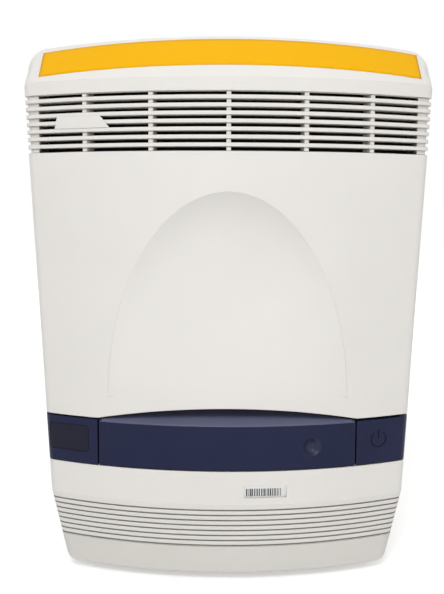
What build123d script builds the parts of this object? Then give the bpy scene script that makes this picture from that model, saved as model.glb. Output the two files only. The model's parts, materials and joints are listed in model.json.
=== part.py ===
from build123d import *
from math import atan, cos, degrees, radians, sin, sqrt, tan
import os

# Bench-top real-time PCR instrument with a bowed front, in millimetres.
# X runs to the right, Y to the back and Z up, and the front faces -Y.
# The origin is the middle of the footprint, on the table.

# Housing seen from the front and from above
WIDTH = 340.0               # across the top band
WAIST_WIDTH = 300.0         # across the kink above the base
DEPTH = 450.0
HEIGHT = 490.0              # rear edge of the deck
FRONT_RADIUS = 330.0        # bow of the front
CORNER_RADIUS = 10.0        # upright corners between front and sides
WALL = 3.0                  # moulded covers
SHEET = 2.0                 # sheet metal inside
SEAM_BACK = 70.0            # front mouldings end this far behind the front
PANEL_GAP = 0.3             # between fixed covers
BAND_GAP = 0.6              # around the pieces of the dark band

# Housing levels, as a stack from the table up
FOOT_HEIGHT = 8.0
BASE_HEIGHT = 23.5          # plain base band
GROOVED_HEIGHT = 38.5       # leaning grooved band
NAME_HEIGHT = 27.5          # upright plain band
BAND_HEIGHT = 38.5          # dark band with the tray door
DOOR_GAP = 1.5              # under the access door
DOOR_HEIGHT = 217.1         # access door
LOUVRE_GAP = 0.4            # above the access door
FASCIA_HEIGHT = 10.7        # upright band over the louvres
SLOPE_HEIGHT = 37.0         # 45 degree brow

# Lean, brow and deck
BASE_LEAN = 0.2             # the base draws in this much for each mm down
SLOPE_RUN = 1.0             # the brow goes back this much for each mm up
DECK_CROWN_RADIUS = 1490.0
DECK_CORNER_RADIUS = 18.0
BASE_CORNER_RADIUS = 10.0

# Grooves round the leaning band
GROOVE_COUNT = 8
GROOVE_PITCH = 4.56
GROOVE_WIDTH = 1.25
GROOVE_DEPTH = 1.5
GROOVE_DROP = 5.3           # first groove under the kink

# Louvres
LOUVRE_COUNT = 8
LOUVRE_OPENING = 3.25
SLAT_HEIGHT = 2.9
SLAT_DEPTH = 14.0
LOUVRE_HALF = 156.0         # open this far each side, then blind
BLIND_DEPTH = 2.0
RIB_ANGLES = (-20.65, -10.8, 0.0, 10.8, 20.65)
RIB_WIDTH = 3.6
RIB_SETBACK = 1.5
RAIL_INSET = 4.0            # rail behind the top edge of the access door
RAIL_HEIGHT = 4.0
RAIL_HALF = 138.0
BADGE_UPPER = (-25.0, -18.1)    # bare pad, angles of its upper edge
BADGE_LOWER = (-25.4, -16.7)
BADGE_SLAT = 3              # the pad covers the gaps over and under this slat
BADGE_RAISE = 0.4

# Access door
ARCH_HALF = 107.0           # raised lower edge
ARCH_RISE = 11.8
SCOOP_HALF = 98.0           # hollow in the face, half an ellipse
SCOOP_RISE = 170.0
SCOOP_START = 16.0          # above the lower edge
SCOOP_DEPTH = 5.5
HINGE_INSET = 5.0           # pivot axis inside the side face
HINGE_REACH = 16.0          # from the axis back to the door's rear edge
HINGE_GAP = 1.1             # behind the door's rear edge
HINGE_PIN = 4.0
HINGE_BOSS = 9.0
PIN_LENGTH = 30.0
PIN_ENTRY = 11.0            # pin in its socket
RUNNING_FIT = 0.05          # radial, shaft in bearing
SWING_ROOM = 1.8            # over the rear edge as it swings inward

# Dark band
TRAY_DOOR_HALF = 106.0
BAND_SPLIT = 1.2            # between tray door and side pieces
LEDGE_RUN = 22.0            # finger ledge over the tray door
LEDGE_RISE = 13.0
LEDGE_CREASE = 1.0          # crease under the top of the band
LEDGE_GAP = 1.3             # under the arched edge
DIMPLE_X = 69.3
DIMPLE_RISE = 18.8          # above the foot of the band
DIMPLE_DIAMETER = 16.0
DIMPLE_DEPTH = 1.6
WINDOW_LEFT = -149.5
WINDOW_RIGHT = -115.0
WINDOW_RISE = 10.2
WINDOW_HEIGHT = 22.3
WINDOW_CORNER = 3.0
BUTTON_TRAVEL = 2.0
BUTTON_STEM = 8.0
BUTTON_X = 121.5

# Plate and tray
PLATE_WIDTH = 127.76        # microplate footprint
PLATE_DEPTH = 85.48
PLATE_FIT = 0.4
PLATE_BACK = 155.0          # plate centre behind the front
TRAY_LIFT = 8.5             # tray above the foot of the band
TRAY_FLOOR = 4.0
TRAY_HEIGHT = 12.0
TRAY_HALF = 76.0
TRAY_LEDGE = 4.8            # seat under the ends of the plate
TRAY_TAIL = 88.0            # arms behind the plate centre
TRAY_TRAVEL = 200.0
SLIDE_LENGTH = 210.0
SLIDE_PLAY = 0.5
SLIDE_WEB = 1.5
SLIDE_DEPTH = 12.0
SLIDE_HEIGHT = 18.0

# Block with its wells, coolers and lift
BLOCK_WIDTH = 116.0
BLOCK_DEPTH = 77.0
BLOCK_HEIGHT = 15.4
BLOCK_DROP = 2.0            # block top under the tray at rest
LIFT_TRAVEL = 12.0
WELL_PITCH = 9.0
WELL_COLUMNS = 12
WELL_ROWS = 8
WELL_RADIUS = 3.0
WELL_DEPTH = 12.5
WELL_TAPER = 7.0
PELTIER_SIZE = 36.0
PELTIER_THICKNESS = 3.6
SINK_WIDTH = 120.0
SINK_DEPTH = 84.0
SINK_BASE = 5.0
FIN_COUNT = 12
FIN_THICKNESS = 2.0
FIN_HEIGHT = 36.0
LIFT_PLATE = 4.0
LIFT_HALF = 84.0
LIFT_DEPTH = 110.0
POST_DIAMETER = 8.0
POST_X = 74.0
POST_Y = 45.0
BUSH_DIAMETER = 14.0
BUSH_LENGTH = 16.0
SCREW_DIAMETER = 6.0
SCREW_OFFSET = 66.0         # lifting rods behind the plate centre
ACTUATOR_SIZE = 22.0
ACTUATOR_HEIGHT = 38.0

# Heated cover
LID_REST = 14.0             # heated cover above the tray at rest
LID_TRAVEL = 5.5
LID_THICKNESS = 8.0
LID_WIDTH = 124.0
LID_DEPTH = 84.0
LID_WINDOW_WIDTH = 110.0
LID_WINDOW_DEPTH = 74.0
LID_CARRIER = 5.0
LID_LENS = 4.0

# Chassis and shelf
CHASSIS_HALF = 88.0         # inner faces of the upright plates
CHASSIS_TAIL = 340.0        # from the seam back
SHELF_RISE = 114.0          # optics shelf over the tray
SHELF_THICKNESS = 4.0
SHELF_HALF = 148.0
SHELF_DEPTH = 330.0
BULKHEAD_INSET = 25.0       # bulkhead inside the side faces
BEAM_WIDTH = 116.0
BEAM_DEPTH = 90.0

# Optics
BEAM_RISE = 79.0            # optical axis over the shelf
MIRROR_WIDTH = 118.0
MIRROR_LENGTH = 112.0
MIRROR_THICKNESS = 4.0
WHEEL_RADIUS = 41.0
WHEEL_THICKNESS = 6.0
FILTER_COUNT = 5
FILTER_CIRCLE = 28.0
FILTER_DIAMETER = 20.0
WHEEL_SHAFT = 5.0
WHEEL_MOTOR = 16.0
WHEEL_MOTOR_LENGTH = 22.0
LAMP_X = 104.0
SPLITTER_BACK = 250.0       # behind the front
EXCITATION_BACK = 165.0
EMISSION_BACK = 287.0
CAMERA_BACK = 338.0
CAMERA_SIZE = 60.0
CAMERA_LENGTH = 62.0
LENS_DIAMETER = 36.0

# Lamp
LAMP_BOX_WIDTH = 60.0
LAMP_BOX_DEPTH = 56.0
LAMP_BOX_HEIGHT = 112.0
LAMP_DIAMETER = 44.0
LAMP_LENGTH = 28.0
LATCH_TRAVEL = 8.0

# Fans, supply and rear panel
REAR_RECESS = 6.0           # rear panel inside the rear edge
FLANGE = 12.0               # side panels turn in behind the rear panel
FAN_DEPTH = 25.0
BLOCK_FAN = 80.0
EXHAUST_FAN = 120.0
EXHAUST_X = -78.0
EXHAUST_RISE = 292.0        # fan centre above the base band
FAN_BLADES = 7
VENT_SLOT = 4.0
VENT_PITCH = 8.0
INLET_X = 108.0
INLET_RISE = 54.0
USB_RISE = 92.0
FUSE_TRAVEL = 14.0
SUPPLY_WIDTH = 150.0
SUPPLY_DEPTH = 120.0
SUPPLY_HEIGHT = 52.0
BOARD_DEPTH = 150.0
BOARD_HEIGHT = 120.0
BOARD_THICKNESS = 1.6
STANDOFF = 6.0
SCREW_HEAD = 7.0

# Levels and planes that follow from the driving dimensions
BASE_Z = FOOT_HEIGHT
BASE_TOP = BASE_Z + BASE_HEIGHT
WAIST_Z = BASE_TOP + GROOVED_HEIGHT
BAND_Z = WAIST_Z + NAME_HEIGHT
BAND_TOP = BAND_Z + BAND_HEIGHT
DOOR_Z = BAND_TOP + DOOR_GAP
DOOR_TOP = DOOR_Z + DOOR_HEIGHT
LOUVRE_Z = DOOR_TOP + LOUVRE_GAP
LOUVRE_PITCH = LOUVRE_OPENING + SLAT_HEIGHT
COVER_Z = LOUVRE_Z + LOUVRE_COUNT * LOUVRE_PITCH - SLAT_HEIGHT
FOLD_Z = COVER_Z + FASCIA_HEIGHT
CREST_Z = FOLD_Z + SLOPE_HEIGHT
FLOOR_Z = BASE_Z + WALL
FRONT_Y = -DEPTH / 2
REAR_Y = DEPTH / 2
AXIS_Y = FRONT_Y + FRONT_RADIUS
SEAM_Y = FRONT_Y + SEAM_BACK
CREST_Y = FRONT_Y + SLOPE_RUN * SLOPE_HEIGHT
DECK_TILT = degrees(atan((HEIGHT - CREST_Z) / (REAR_Y - CREST_Y)))
PLATE_Y = FRONT_Y + PLATE_BACK
TRAY_Z = BAND_Z + TRAY_LIFT
TRAY_TOP = TRAY_Z + TRAY_HEIGHT
SEAT_Z = TRAY_Z + TRAY_FLOOR
BULKHEAD_Y = SEAM_Y - 1.0
SHELF_Z = TRAY_TOP + SHELF_RISE
SHELF_TOP = SHELF_Z + SHELF_THICKNESS
BEAM_Z = SHELF_TOP + BEAM_RISE
REAR_PANEL_Y = REAR_Y - REAR_RECESS


def upright(y):
    """Upright plane at depth y, seen from the front; extrusions run towards the front."""
    return Plane.XZ.offset(-y)


def half_width(z):
    """Half the width of the housing at height z."""
    waist = WAIST_WIDTH / 2
    if z < WAIST_Z:
        return waist - BASE_LEAN * (WAIST_Z - z)
    if z > FOLD_Z:
        return WIDTH / 2
    return waist + (WIDTH / 2 - waist) * (z - WAIST_Z) / (FOLD_Z - WAIST_Z)


def front_setback(z):
    """How far the front lies behind the overall front at height z."""
    if z < WAIST_Z:
        return BASE_LEAN * (WAIST_Z - z)
    return max(SLOPE_RUN * (z - FOLD_Z), 0.0)


def front_face_y(x, inset=0.0):
    """Depth of the upright front face, or of a surface inside it, at x."""
    return AXIS_Y - sqrt((FRONT_RADIUS - inset) ** 2 - x**2)


def levels(bottom, top):
    """The heights from bottom to top at which the housing's outline kinks."""
    return [bottom] + [z for z in (WAIST_Z, FOLD_Z) if bottom < z < top] + [top]


def plan_outline(z, inset=0.0, back=REAR_Y, corner=CORNER_RADIUS):
    """Housing seen from above at height z, drawn in by inset and cut off at back."""
    half = half_width(z) - inset
    radius = FRONT_RADIUS - inset
    centre_y = AXIS_Y + front_setback(z)
    corner_y = centre_y - sqrt(radius**2 - half**2)
    with BuildSketch(Plane.XY.offset(z)) as outline:
        with BuildLine():
            ThreePointArc((-half, corner_y), (0, centre_y - radius), (half, corner_y))
            Polyline((half, corner_y), (half, back), (-half, back), (-half, corner_y))
        make_face()
        if corner > inset:
            fillet(outline.vertices().group_by(Axis.Y)[0], radius=corner - inset)
    return outline.sketch


def housing_block(bottom, top, inset=0.0, back=REAR_Y, corner=CORNER_RADIUS):
    """Solid of the housing between two heights."""
    with BuildPart() as block:
        loft([plan_outline(z, inset, back, corner) for z in levels(bottom, top)], ruled=True)
    return block.part


def outline_ring(z, depth, height, back=REAR_Y):
    """Cutter that follows the housing's outline, depth deep and centred on height z."""
    with BuildSketch(Plane.XY.offset(z - height / 2)) as ring:
        add(Plane.XY.offset(-height / 2) * plan_outline(z, -WALL, back + WALL))
        add(Plane.XY.offset(-height / 2) * plan_outline(z, depth, back + 2 * WALL), mode=Mode.SUBTRACT)
    return extrude(ring.sketch, amount=height, mode=Mode.PRIVATE)


def groove_heights():
    """Centre heights of the grooves, from the top down."""
    return [WAIST_Z - GROOVE_DROP - GROOVE_PITCH * i for i in range(GROOVE_COUNT)]


def opening_heights():
    """Centre heights of the louvre openings, from the top down."""
    first = COVER_Z - LOUVRE_OPENING / 2
    return [first - LOUVRE_PITCH * i for i in range(LOUVRE_COUNT)]


def hinge_point(z):
    """Where the access door's pivot axis passes height z."""
    return (HINGE_INSET - half_width(z), SEAM_Y + PANEL_GAP - HINGE_GAP - HINGE_REACH, z)


def hinge_rod(bottom, top, diameter):
    """Round bar along the pivot axis between two heights."""
    start = Vector(*hinge_point(bottom))
    run = Vector(*hinge_point(top)) - start
    with BuildPart() as rod:
        with BuildSketch(Plane(start, z_dir=run)):
            Circle(diameter / 2)
        extrude(amount=run.length)
    return rod.part


def cylinder_ring(x, y, bottom, top, outer, inner):
    """Upright tube, or a bar where inner is zero."""
    with BuildPart() as tube:
        with BuildSketch(Plane.XY.offset(bottom)):
            with Locations((x, y)):
                Circle(outer / 2)
                if inner > 0:
                    Circle(inner / 2, mode=Mode.SUBTRACT)
        extrude(amount=top - bottom)
    return tube.part


def save(piece, label):
    """Label one finished piece and write it to its own file."""
    piece.part.label = label
    export_step(piece.part, f"parts/{label}.step")


os.makedirs("parts", exist_ok=True)

# Base pan: a tub with rounded lower sides and an air intake under the block fan
INTAKE_SLOTS = 7
pan_foot = half_width(BASE_Z)
pan_top = half_width(BASE_TOP)

with BuildPart() as base_pan:
    add(housing_block(BASE_Z, BASE_TOP))
    with BuildSketch(upright(REAR_Y + 1)) as rounded_front:
        with BuildLine():
            Polyline((-pan_foot, BASE_Z), (pan_foot, BASE_Z), (pan_top, BASE_TOP),
                     (-pan_top, BASE_TOP), (-pan_foot, BASE_Z))
        make_face()
        fillet(rounded_front.vertices().group_by(Axis.Y)[0], radius=BASE_CORNER_RADIUS)
    extrude(amount=DEPTH + 2, mode=Mode.INTERSECT)
    add(housing_block(FLOOR_Z, BASE_TOP + 1, WALL, REAR_Y - WALL), mode=Mode.SUBTRACT)
    with BuildSketch(Plane.XY.offset(BASE_Z - 1)):
        with Locations((0, PLATE_Y)):
            with GridLocations(0, VENT_PITCH, 1, INTAKE_SLOTS):
                SlotOverall(BLOCK_FAN * 0.75, VENT_SLOT)
    extrude(amount=WALL + 2, mode=Mode.SUBTRACT)
save(base_pan, "base_pan")

# Four rubber feet under the base pan
FOOT_RADIUS = 11.0
FOOT_INSET = 36.0
foot_x = half_width(BASE_Z) - FOOT_INSET
foot_front = FRONT_Y + front_setback(BASE_Z) + 1.6 * FOOT_INSET
foot_rear = REAR_Y - FOOT_INSET

with BuildPart() as rubber_feet:
    with BuildSketch(Plane.XY.offset(BASE_Z)):
        with Locations((0, (foot_front + foot_rear) / 2)):
            with GridLocations(2 * foot_x, foot_rear - foot_front, 2, 2):
                Circle(FOOT_RADIUS)
    extrude(amount=-FOOT_HEIGHT, taper=6)
save(rubber_feet, "rubber_feet")

# The front bulkhead is a sheet behind the front mouldings; their walls stop in front of it
BULKHEAD_TOP = COVER_Z - SHEET
bulkhead_front = BULKHEAD_Y - SHEET


def bulkhead_prism(inset, front, depth):
    """Upright plate shaped like the front bulkhead, set in from the side faces."""
    heights = levels(FLOOR_Z, BULKHEAD_TOP)
    right = [(half_width(z) - inset, z) for z in heights]
    left = [(inset - half_width(z), z) for z in reversed(heights)]
    with BuildPart() as plate:
        with BuildSketch(upright(front + depth)):
            with BuildLine():
                Polyline(*right, *left, right[0])
            make_face()
        extrude(amount=depth)
    return plate.part


# Lower bezel: the leaning grooved band and the upright plain band, with a shelf under the tray
bezel_top = BAND_Z - PANEL_GAP
bezel_foot = BASE_TOP + PANEL_GAP

with BuildPart() as lower_bezel:
    add(housing_block(bezel_foot, bezel_top, back=SEAM_Y))
    add(housing_block(bezel_foot - 1, bezel_top - WALL, WALL, SEAM_Y + 1), mode=Mode.SUBTRACT)
    for groove_z in groove_heights():
        add(outline_ring(groove_z, GROOVE_DEPTH, GROOVE_WIDTH, SEAM_Y), mode=Mode.SUBTRACT)
    add(bulkhead_prism(BULKHEAD_INSET - 1, bulkhead_front - PANEL_GAP, SHEET * 3), mode=Mode.SUBTRACT)
save(lower_bezel, "lower_bezel")

# Screws of the rear panel
SCREW_SHANK = 4.0
SCREW_COUNT = 4
SCREW_MARGIN = 20.0


def screw_heights():
    """Heights of the screws, the same on both sides."""
    first = BASE_TOP + SCREW_MARGIN
    step = (COVER_Z - SCREW_MARGIN - first) / (SCREW_COUNT - 1)
    return [first + step * i for i in range(SCREW_COUNT)]


def screw_offset(z):
    """Distance of the screws at height z from the middle."""
    return half_width(z) - WALL - FLANGE / 2


def side_panel(side):
    """Side cover on the given side, -1 left or 1 right, turned in at the rear."""
    foot = BASE_TOP + PANEL_GAP
    top = COVER_Z - PANEL_GAP
    heights = levels(foot, top)
    outer = [(side * half_width(z), z) for z in heights]
    inner = [(side * (half_width(z) - WALL), z) for z in reversed(heights)]
    flange = [(side * (half_width(z) - WALL - FLANGE), z) for z in heights]
    with BuildPart() as panel:
        with BuildSketch(upright(REAR_Y)):
            with BuildLine():
                Polyline(*outer, *inner, outer[0])
            make_face()
            for groove_z in groove_heights():
                with Locations((side * half_width(groove_z), groove_z)):
                    Rectangle(2 * GROOVE_DEPTH, GROOVE_WIDTH, mode=Mode.SUBTRACT)
        extrude(amount=REAR_Y - SEAM_Y - PANEL_GAP)
        with BuildSketch(upright(REAR_PANEL_Y - WALL)):
            with BuildLine():
                Polyline(*inner, *flange, inner[0])
            make_face()
            for screw_z in screw_heights():
                with Locations((side * screw_offset(screw_z), screw_z)):
                    Circle(SCREW_SHANK / 2, mode=Mode.SUBTRACT)
        extrude(amount=WALL)
    return panel


side_panel_left = side_panel(-1)
save(side_panel_left, "side_panel_left")
side_panel_right = side_panel(1)
save(side_panel_right, "side_panel_right")


def crowned_prism(inset):
    """Bar with the crowned top of the deck, running back along its tilt."""
    half = WIDTH / 2 - inset
    drop = DECK_CROWN_RADIUS - sqrt(DECK_CROWN_RADIUS**2 - half**2)
    reach = DEPTH * 1.2
    foot = -(HEIGHT - COVER_Z) - DECK_CORNER_RADIUS
    tilt = radians(DECK_TILT)
    run = Vector(0, cos(tilt), sin(tilt))
    rise = Vector(0, -sin(tilt), cos(tilt))
    origin = Vector(0, CREST_Y, CREST_Z) - rise * inset - run * (DEPTH / 4)
    with BuildPart() as prism:
        with BuildSketch(Plane(origin, x_dir=(-1, 0, 0), z_dir=run)) as section:
            with BuildLine():
                ThreePointArc((-half, -drop), (0, 0), (half, -drop))
                Polyline((half, -drop), (half, foot), (-half, foot), (-half, -drop))
            make_face()
            shoulders = section.vertices().group_by(Axis.Y)[-1]
            fillet(shoulders, radius=DECK_CORNER_RADIUS - inset)
        extrude(amount=reach)
    return prism.part


# Top cover: fascia, sloping brow and crowned deck in one moulding, open below
with BuildPart() as cover_cavity:
    add(housing_block(COVER_Z - 1, HEIGHT + WALL, WALL, REAR_Y - WALL, corner=0))
    add(crowned_prism(WALL), mode=Mode.INTERSECT)

with BuildPart() as top_cover:
    add(housing_block(COVER_Z, HEIGHT + WALL, corner=0))
    add(crowned_prism(0), mode=Mode.INTERSECT)
    front_edges = top_cover.edges().filter_by(lambda edge: edge.center().Y < SEAM_Y + DECK_CORNER_RADIUS)
    upright_edges = front_edges.filter_by(lambda edge: COVER_Z + 1 < edge.center().Z < FOLD_Z - 1)
    brow_edges = front_edges.filter_by(lambda edge: edge.center().Z > FOLD_Z + 1)
    fillet(upright_edges + brow_edges, radius=CORNER_RADIUS)
    add(cover_cavity.part, mode=Mode.SUBTRACT)
save(top_cover, "top_cover")

# Louvre grille: slats across the front, blind grooves round the corners and five upright ribs
grille_top = COVER_Z - PANEL_GAP
lip_top = COVER_Z + 2 * WALL
lip_inset = WALL + PANEL_GAP
slat_back = FRONT_RADIUS - SLAT_DEPTH
rail_foot = LOUVRE_Z - RAIL_HEIGHT


def radial_bar(angle, inner, outer, width, bottom, top):
    """Upright bar across the bowed front at an angle, between two radii."""
    with BuildPart() as bar:
        with BuildSketch(Plane.XY.offset(bottom)):
            with Locations(Location((0, AXIS_Y), angle)):
                with Locations((0, -(inner + outer) / 2)):
                    Rectangle(width, outer - inner)
        extrude(amount=top - bottom)
    return bar.part


def badge_pad():
    """Bare pad, slightly raised, that closes the two gaps beside one slat."""
    gap_low = opening_heights()[BADGE_SLAT + 1] - LOUVRE_OPENING / 2
    gap_high = opening_heights()[BADGE_SLAT] + LOUVRE_OPENING / 2
    low = [FRONT_RADIUS * sin(radians(angle)) for angle in BADGE_LOWER]
    high = [FRONT_RADIUS * sin(radians(angle)) for angle in BADGE_UPPER]
    with BuildPart() as pad:
        add(housing_block(gap_low, gap_high, -BADGE_RAISE, SEAM_Y))
        add(housing_block(gap_low - 1, gap_high + 1, WALL, SEAM_Y + 1), mode=Mode.SUBTRACT)
        with BuildSketch(upright(SEAM_Y)):
            with BuildLine():
                Polyline((low[0], gap_low), (low[1], gap_low), (high[1], gap_high),
                         (high[0], gap_high), (low[0], gap_low))
            make_face()
        extrude(amount=SEAM_BACK + 1, mode=Mode.INTERSECT)
    return pad.part


with BuildPart() as grille_lip:
    add(housing_block(grille_top, lip_top, lip_inset, SEAM_Y))
    add(housing_block(grille_top - 1, lip_top + 1, lip_inset + WALL, SEAM_Y + 1), mode=Mode.SUBTRACT)

with BuildPart() as swing_relief:
    add(housing_block(LOUVRE_Z - 1, LOUVRE_Z + SWING_ROOM, WALL, SEAM_Y + 1))
    add(hinge_rod(LOUVRE_Z - 2, LOUVRE_Z + 2 * SWING_ROOM, 2 * HINGE_REACH + 4), mode=Mode.INTERSECT)

with BuildPart() as louvre_grille:
    add(housing_block(LOUVRE_Z, grille_top, back=SEAM_Y))
    add(housing_block(LOUVRE_Z - 1, grille_top + 1, SLAT_DEPTH, SEAM_Y + 1), mode=Mode.SUBTRACT)
    for opening_z in opening_heights():
        add(outline_ring(opening_z, BLIND_DEPTH, LOUVRE_OPENING, SEAM_Y), mode=Mode.SUBTRACT)
        with BuildSketch(Plane.XY.offset(opening_z - LOUVRE_OPENING / 2)):
            with Locations((0, SEAM_Y - DEPTH / 4)):
                Rectangle(2 * LOUVRE_HALF, DEPTH / 2)
        extrude(amount=LOUVRE_OPENING, mode=Mode.SUBTRACT)
    for rib_angle in RIB_ANGLES:
        add(radial_bar(rib_angle, slat_back, FRONT_RADIUS - RIB_SETBACK, RIB_WIDTH, LOUVRE_Z, grille_top))
        add(radial_bar(rib_angle, slat_back, FRONT_RADIUS - RAIL_INSET - 1, RIB_WIDTH, rail_foot, lip_top))
    add(badge_pad())
    add(grille_lip.part)
    with BuildSketch(Plane.XY.offset(rail_foot)):
        with Locations((0, AXIS_Y)):
            Circle(FRONT_RADIUS - RAIL_INSET)
            Circle(slat_back, mode=Mode.SUBTRACT)
        with Locations((0, SEAM_Y - DEPTH / 4)):
            Rectangle(2 * RAIL_HALF, DEPTH / 2, mode=Mode.INTERSECT)
    extrude(amount=RAIL_HEIGHT)
    add(swing_relief.part, mode=Mode.SUBTRACT)
    add(hinge_rod(LOUVRE_Z - 1, LOUVRE_Z + PIN_ENTRY + 1, HINGE_PIN + 2 * RUNNING_FIT), mode=Mode.SUBTRACT)
save(louvre_grille, "louvre_grille")


def sheared_core(radius):
    """Round core under the hollow of the access door; it steps back steadily with height."""
    bottom = DOOR_Z
    top = DOOR_TOP
    slope = SCOOP_DEPTH / SCOOP_RISE
    sections = []
    for z in (bottom, top):
        with BuildSketch(Plane.XY.offset(z)) as section:
            with Locations((0, AXIS_Y + slope * (z - DOOR_Z - SCOOP_START))):
                Circle(radius)
        sections.append(section.sketch)
    with BuildPart() as core:
        loft(sections, ruled=True)
    return core.part


def scoop_prism(margin):
    """Bar towards the front with the half-ellipse outline of the hollow."""
    with BuildPart() as prism:
        with BuildSketch(upright(SEAM_Y - WALL)):
            with Locations((0, DOOR_Z + SCOOP_START)):
                Ellipse(SCOOP_HALF + margin, SCOOP_RISE + margin)
            with Locations((0, DOOR_Z + SCOOP_START / 2 - SCOOP_RISE)):
                Rectangle(WIDTH, 2 * SCOOP_RISE, mode=Mode.SUBTRACT)
        extrude(amount=SEAM_BACK)
    return prism.part


# Access door: a bowed cover with an arched lower edge and a shallow hollow, hinged at the left
door_back = SEAM_Y + PANEL_GAP - HINGE_GAP
arch_radius = (ARCH_HALF**2 + ARCH_RISE**2) / (2 * ARCH_RISE)
arch_centre = DOOR_Z + ARCH_RISE - arch_radius
boss_length = PIN_LENGTH - PIN_ENTRY + WALL

with BuildPart() as door_pad:
    add(scoop_prism(2 * WALL))
    add(sheared_core(FRONT_RADIUS - WALL), mode=Mode.SUBTRACT)

with BuildPart() as door_cavity:
    add(housing_block(DOOR_Z - 1, DOOR_TOP + 1, WALL, door_back + 1))
    add(door_pad.part, mode=Mode.SUBTRACT)

with BuildPart() as door_hollow:
    add(scoop_prism(0))
    add(sheared_core(FRONT_RADIUS), mode=Mode.SUBTRACT)

with BuildPart() as access_door:
    add(housing_block(DOOR_Z, DOOR_TOP, back=door_back))
    add(door_cavity.part, mode=Mode.SUBTRACT)
    add(door_hollow.part, mode=Mode.SUBTRACT)
    with BuildSketch(upright(SEAM_Y)):
        with Locations((0, arch_centre)):
            Circle(arch_radius)
    extrude(amount=SEAM_BACK + 1, mode=Mode.SUBTRACT)
    add(hinge_rod(DOOR_TOP - boss_length, DOOR_TOP - PANEL_GAP, HINGE_BOSS))
    add(hinge_rod(DOOR_Z + PANEL_GAP, DOOR_Z + boss_length, HINGE_BOSS))
    add(hinge_rod(DOOR_TOP + PIN_ENTRY - PIN_LENGTH, DOOR_TOP + 1, HINGE_PIN), mode=Mode.SUBTRACT)
    add(hinge_rod(DOOR_Z - 1, DOOR_Z - PIN_ENTRY + PIN_LENGTH, HINGE_PIN), mode=Mode.SUBTRACT)
save(access_door, "access_door")

# Two hinge pins pressed into the bosses of the access door
with BuildPart() as hinge_pins:
    add(hinge_rod(DOOR_TOP + PIN_ENTRY - PIN_LENGTH, DOOR_TOP + PIN_ENTRY, HINGE_PIN))
    add(hinge_rod(DOOR_Z - PIN_ENTRY, DOOR_Z - PIN_ENTRY + PIN_LENGTH, HINGE_PIN))
save(hinge_pins, "hinge_pins")


def band_piece(side, bottom, top, back):
    """Side piece of the dark band, open at the rear; side is -1 left or 1 right."""
    edge = TRAY_DOOR_HALF + BAND_SPLIT
    with BuildPart() as cavity:
        add(housing_block(bottom + WALL, top - WALL, WALL, back + 1))
        with BuildSketch(Plane.XY.offset(bottom)):
            with Locations((side * (edge + WALL + WIDTH / 2), 0)):
                Rectangle(WIDTH, 2 * DEPTH)
        extrude(amount=top - bottom, mode=Mode.INTERSECT)
    with BuildPart() as piece:
        add(housing_block(bottom, top, back=back))
        with BuildSketch(Plane.XY.offset(bottom)):
            with Locations((side * (edge + WIDTH / 2), 0)):
                Rectangle(WIDTH, 2 * DEPTH)
        extrude(amount=top - bottom, mode=Mode.INTERSECT)
        add(cavity.part, mode=Mode.SUBTRACT)
    return piece.part


def window_outline(gap):
    """Rounded outline of the status window, drawn in by gap."""
    with BuildSketch(upright(WINDOW_BACK_Y)) as outline:
        with Locations(((WINDOW_LEFT + WINDOW_RIGHT) / 2, BAND_Z + WINDOW_RISE + WINDOW_HEIGHT / 2)):
            RectangleRounded(WINDOW_RIGHT - WINDOW_LEFT - 2 * gap, WINDOW_HEIGHT - 2 * gap, WINDOW_CORNER)
    return outline.sketch


# Front bulkhead: the sheet behind the front mouldings, with openings for tray and lamp
TRAY_OPENING_HALF = CHASSIS_HALF + 1.75 * SHEET
LAMP_MARGIN = 2.0

with BuildPart() as front_bulkhead:
    add(bulkhead_prism(BULKHEAD_INSET, bulkhead_front, SHEET))
    with BuildSketch(upright(BULKHEAD_Y + 1)):
        with Locations((0, (BAND_Z + BAND_TOP + 4) / 2)):
            Rectangle(2 * TRAY_OPENING_HALF, BAND_HEIGHT + 4)
        with Locations((LAMP_X, SHELF_TOP + LAMP_BOX_HEIGHT / 2)):
            Rectangle(LAMP_BOX_WIDTH - 2 * LAMP_MARGIN, LAMP_BOX_HEIGHT - 2 * LAMP_MARGIN)
    extrude(amount=SHEET + 2, mode=Mode.SUBTRACT)
save(front_bulkhead, "front_bulkhead")

# Status panel: left piece of the dark band with the window and the lower hinge socket
WINDOW_BACK_Y = SEAM_Y - 21.0
socket_foot = BAND_TOP - PIN_ENTRY - WALL

with BuildPart() as status_panel:
    add(band_piece(-1, BAND_Z, BAND_TOP, SEAM_Y))
    extrude(window_outline(0), amount=SEAM_BACK, mode=Mode.SUBTRACT)
    add(hinge_rod(socket_foot, BAND_TOP - WALL / 2, HINGE_BOSS))
    add(hinge_rod(socket_foot + WALL / 2, BAND_TOP + 1, HINGE_PIN + 2 * RUNNING_FIT), mode=Mode.SUBTRACT)
    add(bulkhead_prism(BULKHEAD_INSET - 1, bulkhead_front - PANEL_GAP, SHEET * 3), mode=Mode.SUBTRACT)
save(status_panel, "status_panel")

# Clear window of the status panel
with BuildPart() as status_window:
    add(housing_block(BAND_Z + WALL, BAND_TOP - WALL, 0.2, SEAM_Y))
    add(housing_block(BAND_Z, BAND_TOP, 2.5, SEAM_Y + 1), mode=Mode.SUBTRACT)
    extrude(window_outline(0.2), amount=SEAM_BACK, mode=Mode.INTERSECT)
save(status_window, "status_window")

# Power button: the right piece of the dark band, pressed towards the rear
BUTTON_FIT = 0.8
stem_end = bulkhead_front - 10.0
button_z = (BAND_Z + BAND_TOP) / 2

with BuildPart() as button_stem:
    with BuildSketch(upright(stem_end)):
        with Locations((BUTTON_X, button_z)):
            Circle(BUTTON_STEM / 2)
    extrude(amount=SEAM_BACK)
    add(housing_block(BAND_Z, BAND_TOP, WALL / 2, SEAM_Y), mode=Mode.INTERSECT)

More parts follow.
